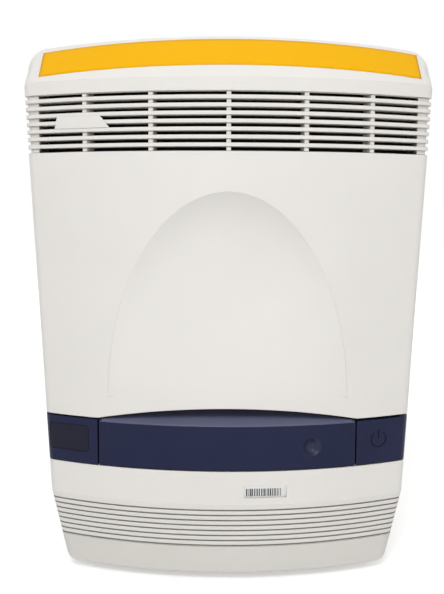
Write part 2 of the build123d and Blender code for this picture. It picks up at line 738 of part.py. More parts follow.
with BuildPart() as power_button:
    add(band_piece(1, BAND_Z + BUTTON_FIT, BAND_TOP - BUTTON_FIT, SEAM_Y - BUTTON_TRAVEL - PANEL_GAP))
    add(button_stem.part)
    add(bulkhead_prism(BULKHEAD_INSET - 1, bulkhead_front - BUTTON_TRAVEL - PANEL_GAP, SHEET * 4), mode=Mode.SUBTRACT)
save(power_button, "power_button")

# Power switch on the bulkhead, around the stem of the button
SWITCH_SIZE = 20.0
SWITCH_LENGTH = 18.0

with BuildPart() as power_switch:
    with BuildSketch(upright(bulkhead_front)):
        with Locations((BUTTON_X, button_z)):
            Rectangle(SWITCH_SIZE, SWITCH_SIZE)
    extrude(amount=SWITCH_LENGTH)
    with BuildSketch(upright(stem_end + BUTTON_TRAVEL + 0.5)):
        with Locations((BUTTON_X, button_z)):
            Circle(BUTTON_STEM / 2 + RUNNING_FIT)
    extrude(amount=SWITCH_LENGTH, mode=Mode.SUBTRACT)
save(power_switch, "power_switch")

# Tray door: bowed front of the tray with a sloping finger ledge and a press dimple
door_foot = BAND_Z + BUTTON_FIT
crease_z = BAND_TOP - LEDGE_CREASE
ledge_slope = LEDGE_RISE / LEDGE_RUN
ledge_wall = WALL * sqrt(1 + ledge_slope**2)
ledge_back = FRONT_RADIUS - LEDGE_RUN - WALL
dimple_radius = ((DIMPLE_DIAMETER / 2) ** 2 + DIMPLE_DEPTH**2) / (2 * DIMPLE_DEPTH)
dimple_reach = FRONT_RADIUS + dimple_radius - DIMPLE_DEPTH
dimple_y = AXIS_Y - sqrt(dimple_reach**2 - DIMPLE_X**2)

with BuildPart() as tray_door:
    with BuildSketch(Plane((0, AXIS_Y, 0), x_dir=(0, -1, 0), z_dir=(-1, 0, 0))):
        with BuildLine():
            Polyline((FRONT_RADIUS, door_foot), (FRONT_RADIUS, crease_z),
                     (FRONT_RADIUS - LEDGE_RUN, crease_z + LEDGE_RISE), (ledge_back, crease_z + LEDGE_RISE),
                     (ledge_back, crease_z + LEDGE_RISE + ledge_slope * WALL - ledge_wall),
                     (FRONT_RADIUS - WALL, crease_z + ledge_slope * WALL - ledge_wall),
                     (FRONT_RADIUS - WALL, door_foot + WALL), (ledge_back, door_foot + WALL),
                     (ledge_back, door_foot), (FRONT_RADIUS, door_foot))
        make_face()
    revolve(axis=Axis((0, AXIS_Y, 0), (0, 0, 1)), revolution_arc=360)
    with BuildSketch(upright(0)):
        with Locations((0, arch_centre)):
            Circle(arch_radius - LEDGE_GAP)
        with Locations((0, BAND_TOP)):
            Rectangle(2 * TRAY_DOOR_HALF, 2 * BAND_HEIGHT, mode=Mode.INTERSECT)
    extrude(amount=DEPTH, mode=Mode.INTERSECT)
    with Locations((DIMPLE_X, dimple_y, BAND_Z + DIMPLE_RISE)):
        Sphere(dimple_radius, mode=Mode.SUBTRACT)
save(tray_door, "tray_door")

# Tray frame: seat of the microplate, open to the rear so that the block can rise into it
pocket_half = PLATE_WIDTH / 2 + PLATE_FIT
pocket_depth = PLATE_DEPTH / 2 + PLATE_FIT
tray_gate = pocket_half - TRAY_LEDGE
gate_front = PLATE_Y - BLOCK_DEPTH / 2 - 1.2
arm_inner = TRAY_HALF - 10.0
tray_end = PLATE_Y + TRAY_TAIL
bay_back = PLATE_Y - pocket_depth - 6.0
bay_front = FRONT_Y + 25.0

with BuildPart() as tray_frame:
    with BuildSketch(Plane.XY.offset(TRAY_Z)):
        with Locations((0, AXIS_Y)):
            Circle(FRONT_RADIUS - WALL)
        with Locations((0, (FRONT_Y + tray_end) / 2)):
            Rectangle(2 * TRAY_HALF, tray_end - FRONT_Y, mode=Mode.INTERSECT)
        with Locations((0, gate_front + DEPTH / 2)):
            Rectangle(2 * tray_gate, DEPTH, mode=Mode.SUBTRACT)
        with Locations((0, PLATE_Y + pocket_depth + 7 + DEPTH / 2)):
            Rectangle(2 * arm_inner, DEPTH, mode=Mode.SUBTRACT)
    extrude(amount=TRAY_HEIGHT)
    with BuildSketch(Plane.XY.offset(SEAT_Z)):
        with Locations((0, PLATE_Y)):
            Rectangle(2 * pocket_half, 2 * pocket_depth)
        with Locations((0, (bay_front + bay_back) / 2)):
            Rectangle(2 * TRAY_HALF - 8, bay_back - bay_front)
    extrude(amount=TRAY_HEIGHT, mode=Mode.SUBTRACT)
save(tray_frame, "tray_frame")

# Telescopic slides: three members nested in each other on both sides of the tray
slide_z = TRAY_Z + TRAY_HEIGHT / 2
slide_step = SLIDE_WEB + SLIDE_PLAY
slide_front = tray_end + 8.0 - SLIDE_LENGTH


def slide_member(level, reach, front):
    """Pair of slide members; level 0 is fixed, 1 the middle and 2 the solid inner bar."""
    outer = CHASSIS_HALF - level * slide_step
    height = SLIDE_HEIGHT - 2 * level * slide_step
    with BuildPart() as member:
        for side in (-1, 1):
            with BuildSketch(upright(front + SLIDE_LENGTH)):
                with Locations((side * (outer - reach / 2), slide_z)):
                    Rectangle(reach, height)
                if level < 2:
                    with Locations((side * (outer - SLIDE_WEB - reach / 2), slide_z)):
                        Rectangle(reach, height - 2 * SLIDE_WEB, mode=Mode.SUBTRACT)
            extrude(amount=SLIDE_LENGTH)
    return member


slide_outer_rails = slide_member(0, SLIDE_DEPTH - 4, slide_front)
save(slide_outer_rails, "slide_outer_rails")
slide_middle_rails = slide_member(1, SLIDE_DEPTH - 5, slide_front)
save(slide_middle_rails, "slide_middle_rails")
slide_inner_rails = slide_member(2, SLIDE_DEPTH - 2 * slide_step, slide_front - 6)
save(slide_inner_rails, "slide_inner_rails")

# Touch latch behind the right arm of the tray, with its sprung plunger
LATCH_LENGTH = 26.0
PLUNGER_DIAMETER = 5.0
PLUNGER_TRAVEL = 3.0
latch_x = (arm_inner + TRAY_HALF) / 2
latch_front = tray_end + 10.0
plunger_tip = tray_end + BUTTON_TRAVEL + PANEL_GAP
plunger_end = latch_front + LATCH_LENGTH / 2

with BuildPart() as touch_latch:
    with BuildSketch(upright(latch_front + LATCH_LENGTH)):
        with Locations(((arm_inner - 4 + CHASSIS_HALF) / 2, slide_z)):
            Rectangle(CHASSIS_HALF - arm_inner + 4, TRAY_HEIGHT)
    extrude(amount=LATCH_LENGTH)
    with BuildSketch(upright(plunger_end + PLUNGER_TRAVEL + 0.5)):
        with Locations((latch_x, slide_z)):
            Circle(PLUNGER_DIAMETER / 2 + RUNNING_FIT)
    extrude(amount=LATCH_LENGTH, mode=Mode.SUBTRACT)
save(touch_latch, "touch_latch")

with BuildPart() as latch_plunger:
    with BuildSketch(upright(plunger_end)):
        with Locations((latch_x, slide_z)):
            Circle(PLUNGER_DIAMETER / 2)
    extrude(amount=plunger_end - plunger_tip)
save(latch_plunger, "latch_plunger")

# Two upright chassis plates that carry the slides and the optics shelf
with BuildPart() as chassis_plates:
    for side in (-1, 1):
        with BuildSketch(Plane.XY.offset(FLOOR_Z)):
            with Locations((side * (CHASSIS_HALF + SHEET / 2), BULKHEAD_Y + CHASSIS_TAIL / 2)):
                Rectangle(SHEET, CHASSIS_TAIL)
        extrude(amount=SHELF_Z - FLOOR_Z)
save(chassis_plates, "chassis_plates")

# Optics shelf with the aperture over the plate
with BuildPart() as optics_shelf:
    with BuildSketch(Plane.XY.offset(SHELF_Z)):
        with Locations((0, BULKHEAD_Y + SHELF_DEPTH / 2)):
            Rectangle(2 * SHELF_HALF, SHELF_DEPTH)
        with Locations((0, PLATE_Y)):
            Rectangle(BEAM_WIDTH, BEAM_DEPTH, mode=Mode.SUBTRACT)
    extrude(amount=SHELF_THICKNESS)
save(optics_shelf, "optics_shelf")

# Rear panel with vent slots in front of the exhaust fan, mains inlet and data socket openings
INLET_WIDTH = 28.0
INLET_HEIGHT = 48.0
USB_WIDTH = 12.0
USB_HEIGHT = 11.0
panel_foot = BASE_TOP + PANEL_GAP
panel_top = COVER_Z - PANEL_GAP
exhaust_z = BASE_TOP + EXHAUST_RISE
inlet_z = BASE_Z + INLET_RISE
usb_z = BASE_Z + USB_RISE
panel_edge = [(half_width(z) - WALL - PANEL_GAP, z) for z in levels(panel_foot, panel_top)]

with BuildPart() as rear_panel:
    with BuildSketch(upright(REAR_PANEL_Y)):
        with BuildLine():
            Polyline(*panel_edge, *[(-x, z) for x, z in reversed(panel_edge)], panel_edge[0])
        make_face()
        with Locations((INLET_X, inlet_z)):
            Rectangle(INLET_WIDTH, INLET_HEIGHT, mode=Mode.SUBTRACT)
        with Locations((INLET_X, usb_z)):
            Rectangle(USB_WIDTH, USB_HEIGHT, mode=Mode.SUBTRACT)
        for screw_z in screw_heights():
            with Locations((screw_offset(screw_z), screw_z), (-screw_offset(screw_z), screw_z)):
                Circle(SCREW_SHANK / 2 + 0.2, mode=Mode.SUBTRACT)
    extrude(amount=WALL)
    with BuildSketch(upright(REAR_PANEL_Y + 1)):
        with Locations((EXHAUST_X, exhaust_z)):
            with GridLocations(0, VENT_PITCH, 1, int(EXHAUST_FAN / VENT_PITCH)):
                Rectangle(EXHAUST_FAN, VENT_SLOT)
            Circle(EXHAUST_FAN / 2 - WALL, mode=Mode.INTERSECT)
    extrude(amount=WALL + 2, mode=Mode.SUBTRACT)
save(rear_panel, "rear_panel")

# Eight screws hold the rear panel to the turned-in edges of the side panels
with BuildPart() as cover_screws:
    for screw_z in screw_heights():
        for side in (-1, 1):
            screw_x = side * screw_offset(screw_z)
            with BuildSketch(upright(REAR_PANEL_Y + SCREW_HEAD / 3)):
                with Locations((screw_x, screw_z)):
                    Circle(SCREW_HEAD / 2)
            extrude(amount=SCREW_HEAD / 3)
            with BuildSketch(upright(REAR_PANEL_Y)):
                with Locations((screw_x, screw_z)):
                    Circle(SCREW_SHANK / 2)
            extrude(amount=WALL + SHEET)
save(cover_screws, "cover_screws")

# Mains inlet with a recess for the plug, three blades and the slot of the fuse drawer
INLET_RIM = 2.0
INLET_BODY = 24.0
PLUG_WIDTH = 24.0
PLUG_HEIGHT = 17.0
PLUG_DEPTH = 18.0
BLADE_LENGTH = 12.0
FUSE_WIDTH = 23.0
FUSE_HEIGHT = 12.0
FUSE_LENGTH = 20.0
FUSE_FIT = 0.25
inlet_face = REAR_PANEL_Y + INLET_RIM
plug_z = inlet_z - 9.5
fuse_z = inlet_z + 12.5

with BuildPart() as power_inlet:
    with BuildSketch(upright(inlet_face)):
        with Locations((INLET_X, inlet_z)):
            RectangleRounded(INLET_WIDTH + 3, INLET_HEIGHT + 3, 3)
    extrude(amount=INLET_RIM)
    with BuildSketch(upright(REAR_PANEL_Y)):
        with Locations((INLET_X, inlet_z)):
            Rectangle(INLET_WIDTH - 0.5, INLET_HEIGHT - 0.5)
    extrude(amount=INLET_BODY)
    with BuildSketch(upright(inlet_face)):
        with Locations((INLET_X, plug_z)):
            RectangleRounded(PLUG_WIDTH, PLUG_HEIGHT, 2)
    extrude(amount=PLUG_DEPTH, mode=Mode.SUBTRACT)
    with BuildSketch(upright(inlet_face)):
        with Locations((INLET_X, fuse_z)):
            Rectangle(FUSE_WIDTH + 2 * FUSE_FIT, FUSE_HEIGHT + 2 * FUSE_FIT)
    extrude(amount=FUSE_LENGTH + FUSE_FIT, mode=Mode.SUBTRACT)
    with BuildSketch(upright(inlet_face - PLUG_DEPTH + BLADE_LENGTH)):
        with Locations((INLET_X - 7, plug_z - 2), (INLET_X, plug_z + 2), (INLET_X + 7, plug_z - 2)):
            Rectangle(2, 4)
    extrude(amount=BLADE_LENGTH + 1)
save(power_inlet, "power_inlet")

with BuildPart() as fuse_drawer:
    with BuildSketch(upright(inlet_face)):
        with Locations((INLET_X, fuse_z)):
            Rectangle(FUSE_WIDTH, FUSE_HEIGHT)
    extrude(amount=FUSE_LENGTH)
    with BuildSketch(upright(inlet_face)):
        with Locations((INLET_X, fuse_z + FUSE_HEIGHT / 4)):
            Rectangle(FUSE_WIDTH / 2, FUSE_HEIGHT / 6)
    extrude(amount=1.2, mode=Mode.SUBTRACT)
save(fuse_drawer, "fuse_drawer")

# Data socket with its tongue
USB_LENGTH = 16.0
USB_WALL = 1.4
USB_DEPTH = 12.0

with BuildPart() as usb_port:
    with BuildSketch(upright(REAR_PANEL_Y + 0.5)):
        with Locations((INLET_X, usb_z)):
            Rectangle(USB_WIDTH - 0.4, USB_HEIGHT - 0.4)
    extrude(amount=USB_LENGTH)
    with BuildSketch(upright(REAR_PANEL_Y + 0.5)):
        with Locations((INLET_X, usb_z)):
            Rectangle(USB_WIDTH - 2 * USB_WALL, USB_HEIGHT - 2 * USB_WALL)
    extrude(amount=USB_DEPTH, mode=Mode.SUBTRACT)
    with BuildSketch(upright(REAR_PANEL_Y + 0.5 - USB_DEPTH / 2)):
        with Locations((INLET_X, usb_z)):
            Rectangle(USB_WIDTH / 2, USB_HEIGHT / 4)
    extrude(amount=USB_DEPTH / 2 + 1)
save(usb_port, "usb_port")


def fan_frame(plane, size):
    """Square fan frame with its hub on four struts; the air leaves at the plane."""
    with BuildPart() as frame:
        with BuildSketch(plane):
            RectangleRounded(size, size, size / 20)
            Circle(size * 0.475, mode=Mode.SUBTRACT)
        extrude(amount=FAN_DEPTH)
        with BuildSketch(plane):
            Rectangle(size * 0.98, WALL)
            Rectangle(WALL, size * 0.98)
            Circle(size * 0.2)
        extrude(amount=WALL)
    return frame


def fan_rotor(plane, size):
    """Hub with pitched blades that runs in a fan frame."""
    root = size * 0.19
    tip = size * 0.435
    with BuildPart() as rotor:
        with BuildSketch(plane.offset(WALL + 0.8)):
            Circle(size * 0.2)
        extrude(amount=FAN_DEPTH - WALL - 1.6)
        with Locations(plane.offset(WALL + FAN_DEPTH / 2 - 1).location):
            with PolarLocations((root + tip) / 2, FAN_BLADES):
                Box(tip - root, size * 0.275, 1.8, rotation=(35, 0, 0))
    return rotor


# Fan under the heat sink and exhaust fan behind the optics
block_fan_plane = Plane((0, PLATE_Y, FLOOR_Z), x_dir=(1, 0, 0), z_dir=(0, 0, 1))
exhaust_fan_plane = Plane((EXHAUST_X, REAR_PANEL_Y - WALL, exhaust_z), x_dir=(-1, 0, 0), z_dir=(0, -1, 0))

block_fan_frame = fan_frame(block_fan_plane, BLOCK_FAN)
save(block_fan_frame, "block_fan_frame")
block_fan_rotor = fan_rotor(block_fan_plane, BLOCK_FAN)
save(block_fan_rotor, "block_fan_rotor")
exhaust_fan_frame = fan_frame(exhaust_fan_plane, EXHAUST_FAN)
save(exhaust_fan_frame, "exhaust_fan_frame")
exhaust_fan_rotor = fan_rotor(exhaust_fan_plane, EXHAUST_FAN)
save(exhaust_fan_rotor, "exhaust_fan_rotor")


def four_posts(bottom, top, outer, inner=0.0):
    """Four bars or bushes at the corners of the plate."""
    with BuildPart() as posts:
        with BuildSketch(Plane.XY.offset(bottom)):
            with Locations((0, PLATE_Y)):
                with GridLocations(2 * POST_X, 2 * POST_Y, 2, 2):
                    Circle(outer / 2)
                    if inner > 0:
                        Circle(inner / 2, mode=Mode.SUBTRACT)
        extrude(amount=top - bottom)
    return posts


def upright_bar(x, y, bottom, top, diameter):
    """Upright round bar."""
    with BuildPart() as bar:
        with BuildSketch(Plane.XY.offset(bottom)):
            with Locations((x, y)):
                Circle(diameter / 2)
        extrude(amount=top - bottom)
    return bar.part


def flat_plate(width, depth, y, bottom, top):
    """Level rectangular plate centred on the X axis."""
    with BuildPart() as plate:
        with BuildSketch(Plane.XY.offset(bottom)):
            with Locations((0, y)):
                Rectangle(width, depth)
        extrude(amount=top - bottom)
    return plate.part


# Levels of the block, from its top down
block_top = TRAY_Z - BLOCK_DROP
block_foot = block_top - BLOCK_HEIGHT
sink_top = block_foot - PELTIER_THICKNESS
lift_top = sink_top - SINK_BASE
lift_foot = lift_top - LIFT_PLATE
bush_bore = POST_DIAMETER + 2 * RUNNING_FIT
rod_y = PLATE_Y + SCREW_OFFSET
rod_bore = SCREW_DIAMETER + 2 * RUNNING_FIT

# Sample block with a tapered eight-sided well under each well of the plate
with BuildPart() as sample_block:
    add(flat_plate(BLOCK_WIDTH, BLOCK_DEPTH, PLATE_Y, block_foot, block_top))
    with BuildSketch(Plane.XY.offset(block_top)):
        with Locations((0, PLATE_Y)):
            with GridLocations(WELL_PITCH, WELL_PITCH, WELL_COLUMNS, WELL_ROWS):
                RegularPolygon(WELL_RADIUS, 8)
    extrude(amount=-WELL_DEPTH, taper=WELL_TAPER, mode=Mode.SUBTRACT)
save(sample_block, "sample_block")

# Six Peltier modules between block and heat sink
with BuildPart() as peltier_modules:
    with BuildSketch(Plane.XY.offset(sink_top)):
        with Locations((0, PLATE_Y)):
            with GridLocations(PELTIER_SIZE + 2, PELTIER_SIZE + 2, 3, 2):
                Rectangle(PELTIER_SIZE, PELTIER_SIZE)
    extrude(amount=PELTIER_THICKNESS)
save(peltier_modules, "peltier_modules")

# Heat sink with fins that reach down through the lift plate
fin_span = 100.0
fin_depth = 68.0

with BuildPart() as heat_sink:
    add(flat_plate(SINK_WIDTH, SINK_DEPTH, PLATE_Y, lift_top, sink_top))
    with BuildSketch(Plane.XY.offset(lift_top)):
        with Locations((0, PLATE_Y)):
            with GridLocations((fin_span - FIN_THICKNESS) / (FIN_COUNT - 1), 0, FIN_COUNT, 1):
                Rectangle(FIN_THICKNESS, fin_depth)
    extrude(amount=-FIN_HEIGHT)
save(heat_sink, "heat_sink")

# Lift plate with its bushes and lifting rod
with BuildPart() as lift_plate:
    add(flat_plate(2 * LIFT_HALF, LIFT_DEPTH, PLATE_Y, lift_foot, lift_top))
    add(flat_plate(2 * ACTUATOR_SIZE, SCREW_OFFSET, PLATE_Y + SCREW_OFFSET / 2 + 8, lift_foot, lift_top))
    add(four_posts(lift_foot - BUSH_LENGTH / 2, lift_top + LIFT_PLATE, BUSH_DIAMETER).part)
    add(flat_plate(fin_span + 4, fin_depth + 2, PLATE_Y, lift_foot - 1, lift_top + 1), mode=Mode.SUBTRACT)
    add(four_posts(lift_foot - BUSH_LENGTH, lift_top + BUSH_LENGTH, bush_bore).part, mode=Mode.SUBTRACT)
    add(upright_bar(0, rod_y, FLOOR_Z + LIFT_TRAVEL, lift_foot + LIFT_PLATE / 2, SCREW_DIAMETER))
save(lift_plate, "lift_plate")

# Guide posts and actuator of the lift, standing on the base pan
lower_guide_posts = four_posts(FLOOR_Z, block_top - 6, POST_DIAMETER)
save(lower_guide_posts, "lower_guide_posts")

with BuildPart() as lift_actuator:
    with BuildSketch(Plane.XY.offset(FLOOR_Z)):
        with Locations((0, rod_y)):
            Rectangle(ACTUATOR_SIZE, ACTUATOR_SIZE)
    extrude(amount=ACTUATOR_HEIGHT)
    add(upright_bar(0, rod_y, FLOOR_Z + LIFT_TRAVEL / 2, SHELF_Z, rod_bore), mode=Mode.SUBTRACT)
save(lift_actuator, "lift_actuator")

# Heated cover: framed plate on a carrier with bushes and a lifting rod
lid_foot = TRAY_TOP + LID_REST
lid_top = lid_foot + LID_THICKNESS
carrier_top = lid_top + LID_CARRIER
LENS_MARGIN = 3.0

with BuildPart() as heated_cover:
    add(flat_plate(LID_WIDTH, LID_DEPTH, PLATE_Y, lid_foot, lid_top))
    add(flat_plate(2 * LIFT_HALF, LIFT_DEPTH, PLATE_Y, lid_top, carrier_top))
    add(flat_plate(ACTUATOR_SIZE, SCREW_OFFSET, PLATE_Y + SCREW_OFFSET / 2 + 8, lid_top, carrier_top))
    add(four_posts(lid_top, lid_top + BUSH_LENGTH, BUSH_DIAMETER).part)
    add(flat_plate(LID_WINDOW_WIDTH, LID_WINDOW_DEPTH, PLATE_Y, lid_foot - 1, carrier_top + 1), mode=Mode.SUBTRACT)
    add(flat_plate(LID_WINDOW_WIDTH + 2 * LENS_MARGIN, LID_WINDOW_DEPTH + 2 * LENS_MARGIN, PLATE_Y,
                   lid_top, carrier_top + 1), mode=Mode.SUBTRACT)
    add(four_posts(lid_foot, carrier_top + BUSH_LENGTH, bush_bore).part, mode=Mode.SUBTRACT)
    add(upright_bar(0, rod_y, lid_top, SHELF_Z - 2 * LID_TRAVEL, SCREW_DIAMETER))
save(heated_cover, "heated_cover")

# Lens over the window of the heated cover
with BuildPart() as cover_lens:
    add(flat_plate(LID_WINDOW_WIDTH + 2 * LENS_MARGIN - 0.4, LID_WINDOW_DEPTH + 2 * LENS_MARGIN - 0.4,
                   PLATE_Y, lid_top, lid_top + LID_LENS))
save(cover_lens, "cover_lens")

# Guide posts and actuator of the heated cover, hung from the optics shelf
upper_guide_posts = four_posts(lid_foot + 1, SHELF_Z, POST_DIAMETER)
save(upper_guide_posts, "upper_guide_posts")

with BuildPart() as cover_actuator:
    with BuildSketch(Plane.XY.offset(SHELF_Z)):
        with Locations((0, rod_y)):
            Rectangle(ACTUATOR_SIZE, ACTUATOR_SIZE)
    extrude(amount=-ACTUATOR_HEIGHT)
    add(upright_bar(0, rod_y, FLOOR_Z, SHELF_Z - LID_TRAVEL, rod_bore), mode=Mode.SUBTRACT)
save(cover_actuator, "cover_actuator")

# Lamp housing behind the bulkhead: open at the front, a round aperture at the rear
LAMP_WALL = 2.5
LAMP_FLOOR = 42.0           # lamp compartment over the shelf
LAMP_SEAT = 4.0             # ring that centres the reflector
lamp_front = BULKHEAD_Y + PANEL_GAP
lamp_rear = lamp_front + LAMP_BOX_DEPTH
lamp_top = SHELF_TOP + LAMP_BOX_HEIGHT
lamp_floor = SHELF_TOP + LAMP_FLOOR
reflector_rim = lamp_rear - LAMP_WALL - 0.5
reflector_foot = reflector_rim - LAMP_LENGTH
rail_x = LAMP_X - LAMP_BOX_WIDTH / 2 + LAMP_WALL
latch_width = 10.0


def lamp_box(x_low, x_high, front, rear, bottom, top):
    """Box from its limits."""
    with BuildPart() as box:
        with BuildSketch(Plane.XY.offset(bottom)):
            with Locations(((x_low + x_high) / 2, (front + rear) / 2)):
                Rectangle(x_high - x_low, rear - front)
        extrude(amount=top - bottom)
    return box.part


lamp_left = LAMP_X - LAMP_BOX_WIDTH / 2
lamp_right = LAMP_X + LAMP_BOX_WIDTH / 2

with BuildPart() as lamp_housing:
    add(lamp_box(lamp_left, lamp_right, lamp_front, lamp_rear, SHELF_TOP, lamp_top))
    add(lamp_box(lamp_left + LAMP_WALL, lamp_right - LAMP_WALL, lamp_front - 1, lamp_rear - LAMP_WALL,
                 lamp_floor, lamp_top - LAMP_WALL), mode=Mode.SUBTRACT)
    add(lamp_box(lamp_left + LAMP_WALL, lamp_right - LAMP_WALL, lamp_front + LAMP_WALL, lamp_rear - LAMP_WALL,
                 SHELF_TOP - 1, lamp_floor - LAMP_WALL), mode=Mode.SUBTRACT)
    with BuildSketch(upright(lamp_rear)):
        with Locations((LAMP_X, BEAM_Z)):
            Circle(LAMP_DIAMETER / 2 + 2)
    extrude(amount=LAMP_WALL + LAMP_SEAT)
    with BuildSketch(upright(lamp_rear - LAMP_WALL)):
        with Locations((LAMP_X, BEAM_Z)):
            Circle(LAMP_DIAMETER / 2 + 0.2)
    extrude(amount=LAMP_SEAT + 1, mode=Mode.SUBTRACT)
    with BuildSketch(upright(lamp_rear + 1)):
        with Locations((LAMP_X, BEAM_Z)):
            Circle(LAMP_DIAMETER / 2 - 2)
    extrude(amount=LAMP_WALL + 2, mode=Mode.SUBTRACT)
    add(lamp_box(rail_x - 1, rail_x + 4, lamp_front, lamp_front + 1.5, lamp_floor + 6, lamp_top - 6))
    add(lamp_box(rail_x - 1, rail_x + 4, lamp_front + latch_width + 2.1, lamp_front + latch_width + 3.6,
                 lamp_floor + 6, lamp_top - 6))
save(lamp_housing, "lamp_housing")

# Lamp latch: a strip between two rails that lifts to free the lamp
with BuildPart() as lamp_latch:
    add(lamp_box(rail_x + 0.3, rail_x + 2.8, lamp_front + 1.8, lamp_front + 1.8 + latch_width,
                 lamp_floor + 12, lamp_top - 20))
    add(lamp_box(rail_x + 2, rail_x + 9, lamp_front + 1.8, lamp_front + 1.8 + latch_width / 2,
                 BEAM_Z - 3, BEAM_Z + 3))
save(lamp_latch, "lamp_latch")

# Halogen lamp: a reflector facing the rear with its capsule and ceramic base
base_length = 8.0
base_radius = 6.0

with BuildPart() as halogen_lamp:
    with BuildSketch(Plane((LAMP_X, reflector_foot, BEAM_Z), x_dir=(1, 0, 0), z_dir=(0, 0, 1))):
        with BuildLine():
            Polyline((0, -base_length), (base_radius, -base_length), (base_radius, 0),
                     (LAMP_DIAMETER * 0.36, LAMP_LENGTH * 0.45), (LAMP_DIAMETER / 2, LAMP_LENGTH),
                     (LAMP_DIAMETER / 2 - 2, LAMP_LENGTH), (LAMP_DIAMETER * 0.36 - 2, LAMP_LENGTH * 0.45 + 1),
                     (4, 2), (4, LAMP_LENGTH * 0.6), (0, LAMP_LENGTH * 0.7), (0, -base_length))
        make_face()
    revolve(axis=Axis((LAMP_X, 0, BEAM_Z), (0, 1, 0)), revolution_arc=360)
save(halogen_lamp, "halogen_lamp")

# Socket block that carries the lamp's base
socket_back = reflector_foot - base_length

with BuildPart() as lamp_socket:
    add(lamp_box(LAMP_X - 12, LAMP_X + 12, socket_back - 8, socket_back, lamp_floor, BEAM_Z + 12))
save(lamp_socket, "lamp_socket")


def filter_wheel(x, y):
    """Wheel with a ring of filter holes and its shaft; one hole is on the optical axis."""
    with BuildPart() as wheel:
        with BuildSketch(upright(y + WHEEL_THICKNESS / 2)):
            with Locations((x, wheel_z)):
                Circle(WHEEL_RADIUS)
                with PolarLocations(FILTER_CIRCLE, FILTER_COUNT, start_angle=90):
                    Circle(FILTER_DIAMETER / 2, mode=Mode.SUBTRACT)
        extrude(amount=WHEEL_THICKNESS)
        with BuildSketch(upright(y + WHEEL_THICKNESS / 2 + WHEEL_MOTOR_LENGTH / 2)):
            with Locations((x, wheel_z)):
                Circle(WHEEL_SHAFT / 2)
        extrude(amount=WHEEL_MOTOR_LENGTH / 2 + 1)
    return wheel


def wheel_filters(x, y):
    """Five round filters in the holes of a wheel."""
    with BuildPart() as filters:
        with BuildSketch(upright(y + WHEEL_THICKNESS / 3)):
            with Locations((x, wheel_z)):
                with PolarLocations(FILTER_CIRCLE, FILTER_COUNT, start_angle=90):
                    Circle(FILTER_DIAMETER / 2 - 0.1)
        extrude(amount=WHEEL_THICKNESS * 2 / 3)
    return filters


# Excitation wheel between lamp and turning mirror, emission wheel in front of the camera lens
wheel_z = BEAM_Z - FILTER_CIRCLE
excitation_y = FRONT_Y + EXCITATION_BACK
emission_y = FRONT_Y + EMISSION_BACK
splitter_y = FRONT_Y + SPLITTER_BACK

excitation_wheel = filter_wheel(LAMP_X, excitation_y)
save(excitation_wheel, "excitation_wheel")
excitation_filters = wheel_filters(LAMP_X, excitation_y)
save(excitation_filters, "excitation_filters")
emission_wheel = filter_wheel(0, emission_y)
save(emission_wheel, "emission_wheel")
emission_filters = wheel_filters(0, emission_y)
save(emission_filters, "emission_filters")

# Small motors behind the two wheels
with BuildPart() as wheel_motors:
    for motor_x, motor_y in ((LAMP_X, excitation_y), (0, emission_y)):
        motor_front = motor_y + WHEEL_THICKNESS / 2 + 2
        with BuildSketch(upright(motor_front + WHEEL_MOTOR_LENGTH)):
            with Locations((motor_x, wheel_z)):
                Circle(WHEEL_MOTOR / 2)
        extrude(amount=WHEEL_MOTOR_LENGTH)
        with BuildSketch(upright(motor_front + WHEEL_MOTOR_LENGTH / 2)):
            with Locations((motor_x, wheel_z)):
                Circle(WHEEL_SHAFT / 2 + RUNNING_FIT)
        extrude(amount=WHEEL_MOTOR_LENGTH, mode=Mode.SUBTRACT)
save(wheel_motors, "wheel_motors")

# Mirrors: a large one at 45 degrees over the plate and a turning mirror behind the excitation wheel
SIDE_MIRROR = 60.0
SPLITTER_SIZE = 70.0

with BuildPart() as mirrors:
    with Locations((0, PLATE_Y, BEAM_Z)):
        Box(MIRROR_WIDTH, MIRROR_LENGTH, MIRROR_THICKNESS, rotation=(45, 0, 0))
    with Locations((LAMP_X, splitter_y, BEAM_Z)):
        Box(SIDE_MIRROR, MIRROR_THICKNESS - 1, SIDE_MIRROR, rotation=(0, 0, -45))
save(mirrors, "mirrors")

with BuildPart() as beam_splitter:
    with Locations((0, splitter_y, BEAM_Z)):
        Box(SPLITTER_SIZE, MIRROR_THICKNESS / 2, SPLITTER_SIZE, rotation=(0, 0, 45))
save(beam_splitter, "beam_splitter")

# Brackets on the shelf for mirrors, motors and camera
bracket_inner = MIRROR_WIDTH / 2 + PANEL_GAP
mirror_reach = MIRROR_LENGTH / 2 * cos(radians(45))
camera_y = FRONT_Y + CAMERA_BACK
camera_foot = BEAM_Z - CAMERA_SIZE / 2

